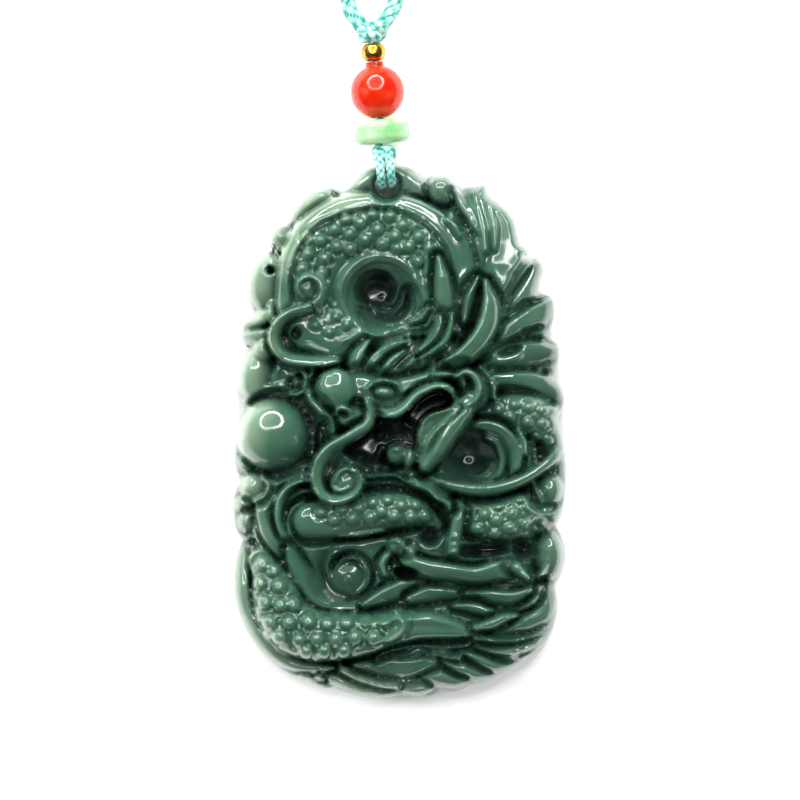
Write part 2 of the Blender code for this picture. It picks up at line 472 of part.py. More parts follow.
def carve_whiskers(r):
    """The two curled whiskers, which lie over everything else."""
    r.ridge([(-9.6, 14.6), (-8.8, 15.4), (-9.0, 16.6), (-10.2, 17.2), (-11.4, 16.4), (-11.4, 15.0),
             (-10.0, 14.0), (-11.8, 13.5), (-13.2, 12.5), (-13.9, 11.0), (-13.6, 9.5), (-12.4, 8.4),
             (-10.6, 7.9), (-8.6, 7.9), (-6.6, 8.2)], 0.75, (9.8, 10.2, 10.0, 9.4, 9.2, 9.6, 9.8), 5.0)
    r.bowl((-10.7, 10.8), (1.6, 1.6), 3.2, 1.6)
    r.ridge([(-3.2, 3.4), (-3.2, 1.9), (-4.0, 0.8), (-5.6, -0.1), (-7.6, -1.2), (-8.9, -2.6), (-9.4, -4.3),
             (-9.1, -6.1), (-7.9, -7.3), (-6.2, -7.5), (-4.6, -6.8), (-4.0, -5.4), (-4.6, -4.2), (-5.9, -3.9),
             (-6.9, -4.7), (-6.6, -5.7), (-5.8, -5.8)], (0.55, 0.75, 0.8, 0.7, 0.5, 0.4), (10.8, 11.0, 10.4, 9.8), 6.0)


def carved_relief():
    """The whole carving, the lowest forms first."""
    r = Relief()
    for carve in (carve_rim, carve_clouds, carve_petals, carve_mane, carve_side_ring, carve_bodies, carve_foot,
                  carve_upper_ring, carve_brow, carve_head, carve_whiskers):
        carve(r)
    r.bowl(HOLE_AT, (HOLE_DIAMETER * 0.75, HOLE_DIAMETER * 0.75), 4.2, 0.5)
    r.polish()
    return r


def material(name, colour, roughness, metallic=0.0):
    """A plain Principled material."""
    made = bpy.data.materials.new(name)
    made.use_nodes = True
    shader = made.node_tree.nodes["Principled BSDF"]
    shader.inputs["Base Color"].default_value = (*colour, 1)
    shader.inputs["Roughness"].default_value = roughness
    shader.inputs["Metallic"].default_value = metallic
    return made


def add_mesh(name, points, faces, finish):
    """A mesh object from points in mm."""
    mesh = bpy.data.meshes.new(name)
    mesh.from_pydata([tuple(float(v) * MM for v in p) for p in points], [], faces)
    mesh.validate()
    thing = bpy.data.objects.new(name, mesh)
    bpy.context.collection.objects.link(thing)
    if finish:
        mesh.materials.append(finish)
    return thing


def outline_radius(angles):
    """Distance from the centre to the outline in each direction."""
    own = np.arctan2(LOOP[:, 1], LOOP[:, 0])
    order = np.argsort(own)
    own, size = own[order], np.hypot(LOOP[:, 0], LOOP[:, 1])[order]
    return np.interp(angles, own, size, period=2 * math.pi)


def disc_grid():
    """A rectangular grid mapped to a unit disc, so that its edge is the disc's edge."""
    u, v = np.meshgrid(np.linspace(-1, 1, MESH_ACROSS + 1), np.linspace(-1, 1, MESH_ALONG + 1))
    wide = np.abs(u) > np.abs(v)
    radius = np.where(wide, np.abs(u), np.abs(v))
    with np.errstate(divide="ignore", invalid="ignore"):
        turn = np.where(wide, math.pi / 4 * v / u, math.pi / 2 - math.pi / 4 * u / v)
    turn = np.nan_to_num(turn) + np.where(np.where(wide, u, v) < 0, math.pi, 0)
    return radius, turn


def plaque_points(relief):
    """The grid of the front, as three arrays in drawn mm."""
    radius, turn = disc_grid()
    ex, ey = np.ptp(LOOP, axis=0)[0] * np.cos(turn), np.ptp(LOOP, axis=0)[1] * np.sin(turn)
    reach = outline_radius(np.arctan2(ey, ex)) / np.hypot(ex, ey)
    x, y = radius * reach * ex, radius * reach * ey
    z = relief.front(x, y)
    edge = np.zeros(z.shape, bool)
    edge[[0, -1], :] = edge[:, [0, -1]] = True
    return x, y, np.where(edge, EDGE_FRONT, z)


def plaque(relief, finish):
    """The jade: carved front, low side and a back that is flat but for its rounded edge."""
    x, y, z = plaque_points(relief)
    rows, columns = x.shape
    points = list(np.column_stack([x.ravel(), y.ravel(), z.ravel()]))
    faces = []
    for j in range(rows - 1):
        for i in range(columns - 1):
            a = j * columns + i
            faces.append((a, a + 1, a + columns + 1, a + columns))
    ring = (
        [i for i in range(columns)]
        + [j * columns + columns - 1 for j in range(1, rows)]
        + [(rows - 1) * columns + i for i in range(columns - 2, -1, -1)]
        + [j * columns for j in range(rows - 2, 0, -1)]
    )
    border = np.array([points[k] for k in ring])
    for share, height in ((1.0, EDGE_BACK), (0.965, EDGE_BACK * 0.3), (0.91, 0.0)):
        start = len(points)
        points.extend(np.column_stack([border[:, :2] * share, np.full(len(border), height)]))
        new = list(range(start, start + len(ring)))
        for k in range(len(ring)):
            following = (k + 1) % len(ring)
            faces.append((ring[following], ring[k], new[k], new[following]))
        ring = new
    points.append(np.zeros(3))
    for k in range(len(ring)):
        faces.append((ring[(k + 1) % len(ring)], ring[k], len(points) - 1))
    return add_mesh("jade_pendant", placed(points), faces, finish)


def turned(name, profile, steps, finish):
    """A closed solid of revolution about its own +Y axis, from a profile of (along, radius) in mm."""
    points, faces = [], []
    for k in range(steps):
        angle = 2 * math.pi * k / steps
        points += [(radius * math.cos(angle), along, radius * math.sin(angle)) for along, radius in profile]
    n = len(profile)
    for k in range(steps):
        after = (k + 1) % steps
        for i in range(n):
            j = (i + 1) % n
            faces.append((k * n + i, k * n + j, after * n + j, after * n + i))
    return add_mesh(name, points, faces, finish)


def bead(name, half_length, radius, bore, rows, steps, finish, fullness=2.0):
    """A drilled bead: a rounded outside and a straight bore."""
    angles = [math.pi * (i / (rows - 1) - 0.5) for i in range(rows)]
    outside = []
    for a in angles:
        along = math.copysign(abs(math.sin(a)) ** (2 / fullness), a) * half_length
        outside.append((along, max(radius * math.cos(a) ** (2 / fullness), bore)))
    flat = bore + 0.15
    outside = [(along, max(out, flat)) for along, out in outside]
    profile = [(outside[0][0], bore)] + outside + [(outside[-1][0], bore)]
    return turned(name, profile, steps, finish)


def knot(name, half, rows, steps, finish):
    """An oval clump of cord with its own half sizes across, along and up."""
    points, faces = [(0, -half[1], 0)], []
    for i in range(1, rows):
        a = math.pi * (i / rows - 0.5)
        for k in range(steps):
            b = 2 * math.pi * k / steps
            points.append((half[0] * math.cos(a) * math.cos(b), half[1] * math.sin(a), half[2] * math.cos(a) * math.sin(b)))
    points.append((0, half[1], 0))
    last = len(points) - 1
    for k in range(steps):
        after = (k + 1) % steps
        faces.append((0, 1 + k, 1 + after))
        for i in range(rows - 2):
            low, high = 1 + i * steps, 1 + (i + 1) * steps
            faces.append((low + after, low + k, high + k, high + after))
        top = 1 + (rows - 2) * steps
        faces.append((last, top + after, top + k))
    return add_mesh(name, points, faces, finish)


def on_cord(distance, height=AXIS_HEIGHT, across=0.0):
    """A place this far along the hanging cord from the hole, in mm."""
    hole_x, hole_y, _ = placed((*HOLE_AT, 0.0))
    s, c = math.sin(CORD_LEAN), math.cos(CORD_LEAN)
    return (hole_x - distance * s + across * c, hole_y + distance * c + across * s, height)


def hang(thing, distance):
    """Puts a piece on the hanging cord."""
    thing.location = tuple(v * MM for v in on_cord(distance))
    thing.rotation_euler = (0, 0, CORD_LEAN)
    return thing


def tube(name, route, diameter, finish):
    """A cord along a smooth route."""
    step = 2.4 * diameter
    points = curve_through(route, step)
    curve = bpy.data.curves.new(name, "CURVE")
    curve.dimensions = "3D"
    curve.bevel_depth = diameter / 2 * MM
    curve.bevel_resolution = 2
    curve.use_fill_caps = True
    spline = curve.splines.new("POLY")
    spline.points.add(len(points) - 1)
    for slot, point in zip(spline.points, points):
        slot.co = (*(float(v) * MM for v in point), 1)
    thing = bpy.data.objects.new(name, curve)
    bpy.context.collection.objects.link(thing)
    curve.materials.append(finish)
    return thing


def cutter(name, location, length, radius, turn, steps):
    """A hidden cylinder that cuts."""
    along = length / 2
    points, faces = [(0, -along, 0), (0, along, 0)], []
    for k in range(steps):
        angle = 2 * math.pi * k / steps
        for y in (-along, along):
            points.append((radius * math.cos(angle), y, radius * math.sin(angle)))
    for k in range(steps):
        a, b = 2 + 2 * k, 2 + 2 * ((k + 1) % steps)
        faces += [(a, a + 1, b + 1, b), (0, a, b), (1, b + 1, a + 1)]
    thing = add_mesh(name, points, faces, None)
    thing.location = tuple(v * MM for v in location)
    thing.rotation_euler = turn
    thing.hide_render = True
    thing.display_type = "WIRE"
    return thing


def cut(thing, tool):
    """Cuts the tool out of the thing."""
    step = thing.modifiers.new(tool.name, "BOOLEAN")
    step.operation = "DIFFERENCE"
    step.solver = "EXACT"
    step.object = tool


def build_plaque(jade):
    """The plaque, thinned to few facets, with the cord hole and the cord's channel behind it."""
    thing = plaque(carved_relief(), jade)
    thin = thing.modifiers.new("fewer_facets", "DECIMATE")
    thin.ratio = KEPT_SHARE
    hole = (*on_cord(0)[:2], THICKNESS / 2)
    cut(thing, cutter("hole_cutter", hole, 2 * THICKNESS, HOLE_DIAMETER / 2, (math.pi / 2, 0, 0), 24))
    middle = on_cord(CHANNEL_LENGTH / 2 - 0.5, 0.0)
    cut(thing, cutter("channel_cutter", middle, CHANNEL_LENGTH, CHANNEL_DEPTH, (0, 0, CORD_LEAN), 20))


def build_beads(pale_stone, red_stone, gold, cord):
    """The beads, knots and strands, each one further along the cord. Returns where the neck cord's knot sits."""
    lower = EDGE_ABOVE_HOLE + GAP + 0.25 + LOWER_KNOT[1]
    disc = lower + LOWER_KNOT[1] + GAP + DISC_THICKNESS / 2
    red = disc + DISC_THICKNESS / 2 + GAP + RED_DIAMETER / 2
    gilt = red + RED_DIAMETER / 2 + GAP + GOLD_LENGTH / 2
    upper = gilt + GOLD_LENGTH / 2 + GAP + UPPER_KNOT[1]
    bore = BORE / 2
    hang(knot("lower_knot", LOWER_KNOT, 7, 12, cord), lower)
    hang(bead("disc_bead", DISC_THICKNESS / 2, DISC_DIAMETER / 2, bore, 6, 28, pale_stone, fullness=5.0), disc)
    hang(bead("red_bead", RED_DIAMETER / 2, RED_DIAMETER / 2, bore, 11, 22, red_stone), red)
    hang(bead("gold_bead", GOLD_LENGTH / 2, GOLD_DIAMETER / 2, bore, 6, 18, gold), gilt)
    hang(knot("upper_knot", UPPER_KNOT, 8, 14, cord), upper)
    start, end = lower + LOWER_KNOT[1] + GAP, upper - UPPER_KNOT[1] - GAP
    tube("bead_cord", [on_cord(start), on_cord((start + end) / 2), on_cord(end)], CORE_DIAMETER, cord)
    for side, name in ((-1, "loop_left"), (1, "loop_right")):
        across = side * (STRAND_DIAMETER + GAP) / 2
        tube(name, [on_cord(s, z, across) for s, z in LOOP_ROUTE], STRAND_DIAMETER, cord)
    return upper


def build_neck(upper, cord):
    """The neck cord: a strand on each side of the knot, and the coil that the rest of it lies in."""
    knot_x, knot_y, _ = on_cord(upper)
    coil_x, coil_y = knot_x, knot_y + COIL_BEYOND_KNOT
    section = COIL_SECTION / 2
    profile = []
    for k in range(12):
        a = 2 * math.pi * k / 12
        profile.append((section * math.sin(a), COIL_DIAMETER / 2 + section * math.cos(a)))
    coil = turned("neck_coil", profile, 32, cord)
    coil.location = (coil_x * MM, coil_y * MM, section * MM)
    coil.rotation_euler = (math.pi / 2, 0, 0)
    outer = COIL_DIAMETER / 2 + section + GAP
    for side, name in ((-1, "neck_left"), (1, "neck_right")):
        x = knot_x + side * NECK_SPREAD
        end = coil_y - math.sqrt(outer**2 - NECK_SPREAD**2)
        low = NECK_DIAMETER / 2
        route = [
            (knot_x + side * 1.5, knot_y + 1.3, AXIS_HEIGHT),
            (knot_x + side * 2.3, knot_y + 2.3, AXIS_HEIGHT - 0.4),
            (x, knot_y + 3.8, AXIS_HEIGHT - 1.2),
            (x, (knot_y + end) / 2 + 1.0, low + 0.3),
            (x, end, low),
        ]
        tube(name, route, NECK_DIAMETER, cord)


def main():
    """Clears the scene and builds every piece."""
    for thing in list(bpy.data.objects):
        bpy.data.objects.remove(thing, do_unlink=True)
    jade = material("jade", (0.05, 0.11, 0.08), 0.2)
    pale_stone = material("pale_green_stone", (0.55, 0.80, 0.58), 0.25)
    red_stone = material("carnelian", (0.85, 0.08, 0.02), 0.15)
    gold = material("gold_metal", (0.85, 0.62, 0.25), 0.25, metallic=1.0)
    cord = material("teal_cord", (0.25, 0.62, 0.55), 0.8)
    build_plaque(jade)
    upper = build_beads(pale_stone, red_stone, gold, cord)
    build_neck(upper, cord)


main()
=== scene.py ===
"""The jade dragon pendant as it looks: carved jade, beads and braided cord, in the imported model's frame.

The jade's relief is a height field. Strokes are laid on it in painter's order, the lowest forms first, and
the plaque's mesh takes its height from it. It is drawn in millimetres with the outline round the origin.
"""

import logging
import math
from dataclasses import dataclass, field
from enum import Enum

import bpy
import numpy as np
from mathutils import Matrix, Vector


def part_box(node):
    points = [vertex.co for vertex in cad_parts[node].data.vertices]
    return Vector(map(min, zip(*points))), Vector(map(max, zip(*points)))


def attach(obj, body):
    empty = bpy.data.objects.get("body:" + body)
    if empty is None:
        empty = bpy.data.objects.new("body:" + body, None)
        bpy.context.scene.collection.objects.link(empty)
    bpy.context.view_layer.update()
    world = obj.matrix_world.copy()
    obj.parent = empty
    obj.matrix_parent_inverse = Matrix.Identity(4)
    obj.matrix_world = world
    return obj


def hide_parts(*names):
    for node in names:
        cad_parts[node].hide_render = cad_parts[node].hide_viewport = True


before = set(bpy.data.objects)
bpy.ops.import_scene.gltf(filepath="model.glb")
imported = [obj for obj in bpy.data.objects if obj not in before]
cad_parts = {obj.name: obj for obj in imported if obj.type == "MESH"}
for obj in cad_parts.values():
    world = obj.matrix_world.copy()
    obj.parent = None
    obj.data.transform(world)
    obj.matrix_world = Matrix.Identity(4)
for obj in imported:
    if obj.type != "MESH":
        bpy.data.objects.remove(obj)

LOG = logging.getLogger("jade_pendant")
MM = 0.001
Point = tuple[float, float]
Route = list[Point]
Sizes = float | tuple[float, ...]
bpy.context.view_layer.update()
Triple = tuple[float, float, float]
Thing = bpy.types.Object
Material = bpy.types.Material
Tree = bpy.types.NodeTree
Socket = bpy.types.NodeSocket
# Lengths in mm: the cord hole's place in the drawing, the spacing of a stroke's points, how far from a form
# its banks can cut, and a distance beyond all that is measured.
HOLE: Point = (-1.4, 27.7)
ROUTE_STEP = 0.25
BANK_REACH = 2.2
FAR = 1e3
# The outline from notch to notch, clockwise from the top, in mm. Each row is a notch and the lobe after it.
OUTLINE: tuple[tuple[Point, ...], ...] = (
    ((-6.4, 27.1), (-5.5, 27.9), (-4.3, 29.1), (-3.0, 29.7), (-1.4, 29.9), (0.2, 29.85), (1.4, 29.55),
     (2.1, 29.0)),
    ((3.0, 28.5), (3.7, 28.85), (4.7, 28.95), (5.6, 28.8), (6.1, 28.3)),
    ((6.9, 27.4), (7.6, 27.65)),
    ((8.6, 27.75), (9.2, 27.9), (9.7, 27.6), (9.95, 26.85), (11.2, 25.85), (12.3, 24.9), (13.1, 23.6),
     (13.4, 22.2)),
    ((13.6, 21.3), (14.3, 20.7), (14.5, 20.2)),
    ((14.35, 19.7), (15.3, 19.55), (15.95, 19.0), (16.1, 18.1), (15.8, 16.9)),
    ((15.6, 15.8), (16.9, 15.25), (17.3, 14.5), (17.3, 13.2), (17.0, 11.8)),
    ((16.8, 10.6), (17.6, 10.0), (17.9, 9.2), (17.7, 7.8)),
    ((17.2, 6.2), (18.0, 5.4), (18.4, 4.0), (18.2, 2.7)),
    ((17.7, 1.7), (18.1, 0.1), (18.45, -2.0), (18.6, -4.8), (18.4, -7.6), (18.1, -9.2)),
    ((17.5, -10.3), (18.3, -12.0), (18.55, -13.8), (18.1, -15.6)),
    ((17.3, -16.9), (17.65, -18.6), (17.5, -20.6), (16.7, -22.8), (15.2, -24.5)),
    ((13.9, -25.2), (12.5, -26.15), (10.8, -27.15), (9.2, -27.8)),
    ((7.7, -28.1), (6.9, -28.65), (5.8, -28.9)),
    ((4.7, -28.75), (3.6, -29.35), (2.2, -29.6), (1.1, -29.5)),
    ((0.4, -29.25), (-0.8, -29.5), (-2.4, -29.6), (-4.2, -29.4), (-6.0, -28.95)),
    ((-7.2, -28.35), (-8.3, -28.5), (-9.3, -28.15)),
    ((-9.9, -27.75), (-12.2, -26.95), (-14.3, -25.5), (-16.3, -23.4), (-17.7, -20.8), (-18.5, -18.0),
     (-18.55, -15.4), (-18.1, -13.2)),
    ((-17.5, -11.9), (-18.25, -10.8), (-18.55, -9.0), (-18.55, -7.2), (-18.2, -6.0)),
    ((-17.7, -5.2), (-18.25, -4.0), (-18.4, -2.4), (-18.2, -0.4), (-17.8, 1.5)),
    ((-17.2, 2.7), (-17.9, 4.0), (-18.15, 5.6), (-17.95, 7.2), (-17.4, 8.7)),
    ((-16.9, 9.6), (-17.6, 10.3), (-17.75, 11.3), (-17.4, 12.4)),
    ((-16.1, 13.4), (-16.75, 14.5), (-17.05, 16.0), (-16.9, 17.6), (-16.2, 19.2), (-15.1, 20.2)),
    ((-14.0, 20.6), (-14.6, 21.3), (-14.5, 22.3), (-13.7, 23.25)),
    ((-12.5, 23.3), (-12.35, 24.3), (-11.7, 25.6), (-10.4, 27.0), (-9.0, 27.65), (-7.9, 27.6)),
)


def blend(a: np.ndarray, b: np.ndarray, start: float, end: float, at: np.ndarray) -> np.ndarray:
    """Return the blend of a at start and b at end."""
    return ((end - at) * a + (at - start) * b) / (end - start)


def curve_through(points: Route, step: float) -> np.ndarray:
    """Draw a centripetal Catmull-Rom curve through some points.

    Args:
        points: The points, flat or in space.
        step: The spacing of the result.

    Returns:
        The curve's points, one a row.
    """
    p = np.asarray(points, float)
    q = np.vstack([2 * p[0] - p[1], p, 2 * p[-1] - p[-2]])
    out = []
    for four in zip(q, q[1:], q[2:], q[3:]):
        t = np.cumsum([0.0] + [np.linalg.norm(v - u) ** 0.5 for u, v in zip(four, four[1:])])
        count = max(2, int(np.linalg.norm(four[2] - four[1]) / step) + 1)
        s = np.linspace(t[1], t[2], count, endpoint=False)[:, None]
        one = [blend(four[i], four[i + 1], t[i], t[i + 1], s) for i in range(3)]
        two = [blend(one[i], one[i + 1], t[i], t[i + 2], s) for i in range(2)]
        out.append(blend(two[0], two[1], t[1], t[2], s))
    out.append(p[-1:])
    return np.vstack(out)


def outline_loop(step: float) -> np.ndarray:
    """Return the closed outline, at about this spacing."""
    out = []
    for lobe, following in zip(OUTLINE, OUTLINE[1:] + OUTLINE[:1]):
        out.append(curve_through(list(lobe) + [following[0]], step)[:-1])
    return np.vstack(out)


def from_segment(x: np.ndarray, y: np.ndarray, a: np.ndarray, b: np.ndarray) -> tuple[np.ndarray, ...]:
    """Measure points from one straight segment.

    Args:
        x: Each point's x.
        y: Each point's y.
        a: The segment's start.
        b: The segment's end.

    Returns:
        The distance, the share along the segment, and the side: above 0 on the left.
    """
    ex, ey = b - a
    qx, qy = x - a[0], y - a[1]
    t = np.clip((qx * ex + qy * ey) / (ex * ex + ey * ey), 0, 1)
    return np.hypot(qx - t * ex, qy - t * ey), t, ex * qy - ey * qx


@dataclass
class Relief:
    """A height field in mm that strokes carve in painter's order.

    Attributes:
        cell: Spacing of the grid.
        ground: Height before any stroke at the outline.
        middle: Height before any stroke in the middle.
        climb: How far inside the outline that height is reached.
        measured: How far inside the outline distances are measured.
        edge: Height of the front where it meets the outline.
        edge_round: How far in from the outline the front rounds off.
        sink: How deep the banks of a form may cut into its neighbours.
        low: The grid's first corner, a little outside the outline.
        high: Its last corner.
    """

    cell: float = 0.125
    ground: float = 4.4
    middle: float = 7.3
    climb: float = 3.2
    measured: float = 4.0
    edge: float = 2.1
    edge_round: float = 1.3
    sink: float = 1.3
    low: Point = (-19.2, -30.4)
    high: Point = (19.3, 30.7)

    def __post_init__(self) -> None:
        """Lay out the grid and measure how far inside the outline each point lies."""
        self.x = np.arange(self.low[0], self.high[0], self.cell)
        self.y = np.arange(self.low[1], self.high[1], self.cell)
        self.gx, self.gy = np.meshgrid(self.x, self.y)
        self.loop = outline_loop(0.2)
        self.h = np.full(self.gx.shape, self.ground)
        self.inside = self.measure_inside()
        share = np.clip(self.inside / self.climb, 0, 1)
        self.h += (self.middle - self.ground) * np.sin(0.5 * math.pi * share)

    def window(self, low: np.ndarray, high: np.ndarray) -> tuple[slice, slice]:
        """Return the slices of the grid between two corners."""
        i0, i1 = np.searchsorted(self.x, (low[0], high[0]))
        j0, j1 = np.searchsorted(self.y, (low[1], high[1]))
        return slice(max(j0 - 1, 0), j1 + 1), slice(max(i0 - 1, 0), i1 + 1)

    def near(self, line: np.ndarray, reach: float) -> tuple[np.ndarray, ...]:
        """Measure the grid from a line, no further out than reach.

        Args:
            line: The line's points.
            reach: How far out to measure.

        Returns:
            The distance, signed by side, the length along the line, and a mask of the points measured.
        """
        dist = np.full(self.h.shape, FAR)
        along, side = np.zeros(self.h.shape), np.ones(self.h.shape)
        start = 0.0
        for a, b in zip(line, line[1:]):
            size = float(np.hypot(*(b - a)))
            if math.isclose(size, 0.0, abs_tol=1e-6):
                continue
            w = self.window(np.minimum(a, b) - reach, np.maximum(a, b) + reach)
            d, t, s = from_segment(self.gx[w], self.gy[w], a, b)
            nearer = d < dist[w]
            dist[w] = np.where(nearer, d, dist[w])
            along[w] = np.where(nearer, start + t * size, along[w])
            side[w] = np.where(nearer, np.where(s >= 0, 1.0, -1.0), side[w])
            start += size
        return dist * side, along, dist <= reach

    def measure_inside(self) -> np.ndarray:
        """Return how far inside the outline each point lies, negative outside."""
        closed = np.vstack([self.loop, self.loop[:1]])
        dist, _, _ = self.near(closed, self.measured)
        inside = np.zeros(self.h.shape, bool)
        for (x0, y0), (x1, y1) in zip(closed, closed[1:]):
            if y0 != y1:
                rows = (y0 > self.y) != (y1 > self.y)
                cross = (x1 - x0) * (self.y[rows] - y0) / (y1 - y0) + x0
                inside[rows] ^= self.x[None, :] < cross[:, None]
        return np.where(inside, 1.0, -1.0) * np.minimum(np.abs(dist), self.measured)

    @staticmethod
    def spread(value: Sizes, share: np.ndarray) -> np.ndarray:
        """Return a size that is given once, or at even steps along a route, at each share of the route."""
        steps = np.atleast_1d(np.asarray(value, float))
        return np.interp(share, np.linspace(0, 1, len(steps)), steps)

    def lay(
        self, where: np.ndarray, inside: np.ndarray, body: np.ndarray, beside: np.ndarray, over: bool,
    ) -> None:
        """Put a form in its place.

        Args:
            where: Mask of the points that the form can change.
            inside: Mask of the form itself.
            body: The form's height.
            beside: The height of the banks round it.
            over: Whether it lies over what is there, with no banks cut.
        """
        if over:
            self.h = np.where(where & inside, np.maximum(self.h, body), self.h)
        else:
            cut = np.minimum(self.h, np.maximum(beside, self.h - self.sink))
            self.h = np.where(where, np.where(inside, body, cut), self.h)

    def ridge(
        self, route: Route, half: Sizes, crest: Sizes, foot: Sizes, form: float = 2.0, sharp: float = 0.5,
        lean: float = 0.0, bank: float = 3.0, over: bool = False,
    ) -> None:
        """Lay a ridge along a route.

        Args:
            route: Its points.
            half: Half its width.
            crest: Height of its crest.
            foot: Height that it stands on.
            form: 2 for a round section, more for a flatter top.
            sharp: 0.5 for a round section, up to 1 for a keel.
            lean: Where the crest lies across it, from -1 to 1, positive on the left.
            bank: Slope of the banks beside it.
            over: Whether it lies over what is there, with no banks cut.
        """
        line = curve_through(route, ROUTE_STEP)
        dist, along, where = self.near(line, float(np.max(half)) + BANK_REACH)
        share = along / np.linalg.norm(np.diff(line, axis=0), axis=1).sum()
        wide, top, low = (self.spread(v, share) for v in (half, crest, foot))
        t = dist / wide
        t = np.abs(np.where(t > lean, (t - lean) / (1 - lean), (t - lean) / (1 + lean)))
        body = low + (top - low) * np.clip(1 - t**form, 0, 1) ** sharp
        self.lay(where, t < 1, body, low + bank * (np.abs(dist) - wide), over)

    def oval(self, centre: Point, radii: Point, turn: float) -> np.ndarray:
        """Return each point's distance from an oval's centre, in shares of its radii."""
        c, s = math.cos(math.radians(turn)), math.sin(math.radians(turn))
        dx, dy = self.gx - centre[0], self.gy - centre[1]
        return np.hypot((dx * c + dy * s) / radii[0], (dy * c - dx * s) / radii[1])

    def boss(
        self, centre: Point, radii: Point, crest: float, foot: float, turn: float = 0.0, form: float = 2.0,
        bank: float = 3.0, over: bool = False,
    ) -> None:
        """Lay an oval mound.

        Args:
            centre: Its centre.
            radii: Its half sizes.
            crest: Its height.
            foot: Height that it stands on.
            turn: How far it is turned, in degrees.
            form: 2 for a dome, more for a flatter top.
            bank: Slope of the banks beside it.
            over: Whether it lies over what is there, with no banks cut.
        """
        t = self.oval(centre, radii, turn)
        out = (t - 1) * min(radii)
        body = foot + (crest - foot) * np.sqrt(np.clip(1 - t**form, 0, 1))
        self.lay(out < BANK_REACH, t < 1, body, foot + bank * out, over)

    def bowl(
        self, centre: Point, radii: Point, floor: float, rise: float, turn: float = 0.0, wall: float = 3.0,
        form: float = 2.0,
    ) -> None:
        """Sink a hollow.

        Args:
            centre: Its centre.
            radii: Its half sizes.
            floor: Height of its lowest point.
            rise: How far its floor climbs to its edge.
            turn: How far it is turned, in degrees.
            wall: Slope of its wall.
            form: 1 for a cone, 2 for a round floor.
        """
        t = self.oval(centre, radii, turn)
        body = floor + rise * t**form + np.maximum(t - 1, 0) * min(radii) * wall
        near = (t - 1) * min(radii) < BANK_REACH
        self.h = np.where(near, np.minimum(self.h, body), self.h)

    def groove(self, route: Route, half: Sizes, depth: Sizes) -> None:
        """Cut a soft line into what is there.

        Args:
            route: Its points.
            half: Half its width.
            depth: How deep it is.
        """
        line = curve_through(route, ROUTE_STEP)
        dist, along, where = self.near(line, 2.5 * float(np.max(half)))
        share = along / np.linalg.norm(np.diff(line, axis=0), axis=1).sum()
        wide, deep = self.spread(half, share), self.spread(depth, share)
        self.h -= np.where(where, deep * np.exp(-((dist / wide) ** 2)), 0)

    def swell(self, route: Route, half: Sizes, rise: Sizes) -> None:
        """Raise a soft line on what is there."""
        self.groove(route, half, tuple(-v for v in np.atleast_1d(np.asarray(rise, float))))

    def domes(self, centres: list[Point], radius: float, rise: float) -> None:
        """Raise single pebbles, each in a fine groove, on what is there.

        Args:
            centres: Their centres.
            radius: Their size.
            rise: Their height.
        """
        for centre in centres:
            w = self.window(np.subtract(centre, 2 * radius), np.add(centre, 2 * radius))
            t = np.hypot(self.gx[w] - centre[0], self.gy[w] - centre[1]) / radius
            ring = np.exp(-(((t - 1.05) / 0.2) ** 2))
            self.h[w] += rise * (np.sqrt(np.clip(1 - t**2, 0, 1)) - 0.4 * ring)

    def cells(
        self, centres: list[Point], radius: float, rise: float, net: float, reach: float = 1.35,
    ) -> None:
        """Raise scales: a dome at each centre, and a net of fine lines where neighbours meet.

        Args:
            centres: The scales' centres.
            radius: Size of each dome.
            rise: Height of each dome.
            net: Height of the lines.
            reach: How far a scale spreads where it has no neighbour.
        """
        low, high = np.min(centres, axis=0) - reach, np.max(centres, axis=0) + reach
        w = self.window(low, high)
        away = np.sort([np.hypot(self.gx[w] - x, self.gy[w] - y) for x, y in centres], axis=0)
        t = away[0] / radius
        dome = rise * (0.55 * np.clip((1 - t) / 0.15, 0, 1) + 0.45 * np.clip(1 - t**2, 0, 1))
        line = net * np.exp(-(((away[1] - away[0]) / 0.26) ** 2)) * (away[0] > radius)
        dip = -0.6 * rise * np.exp(-(((away[0] - 1.15 * radius) / (0.2 * radius)) ** 2))
        self.h[w] += (dome + line + dip) * np.clip((reach - away[0]) / 0.3, 0, 1)

    def softened(self, sigma: float) -> np.ndarray:
        """Return the heights, softened by a Gaussian of this width in mm."""
        n = math.ceil(3 * sigma / self.cell)
        weights = np.exp(-0.5 * (np.arange(-n, n + 1) * self.cell / sigma) ** 2)
        weights /= weights.sum()
        rows, columns = self.h.shape
        tall = np.pad(self.h, ((n, n), (0, 0)), mode="edge")
        soft = sum(k * tall[i : i + rows] for i, k in enumerate(weights))
        broad = np.pad(soft, ((0, 0), (n, n)), mode="edge")
        return sum(k * broad[:, i : i + columns] for i, k in enumerate(weights))

    def sample(self, grid: np.ndarray, x: np.ndarray, y: np.ndarray) -> np.ndarray:
        """Return a grid's value between its points."""
        u, v = (x - self.x[0]) / self.cell, (y - self.y[0]) / self.cell
        i, j = np.floor(u).astype(int), np.floor(v).astype(int)
        u, v = u - i, v - j
        low = grid[j, i] * (1 - u) + grid[j, i + 1] * u
        high = grid[j + 1, i] * (1 - u) + grid[j + 1, i + 1] * u
        return low * (1 - v) + high * v

    def front(self, x: np.ndarray, y: np.ndarray) -> np.ndarray:
        """Return the height of the finished front, rounded off towards the outline."""
        t = np.clip(self.sample(self.inside, x, y) / self.edge_round, 0, 1)
        return self.edge + (self.sample(self.h, x, y) - self.edge) * np.sqrt(1 - (1 - t) ** 2)


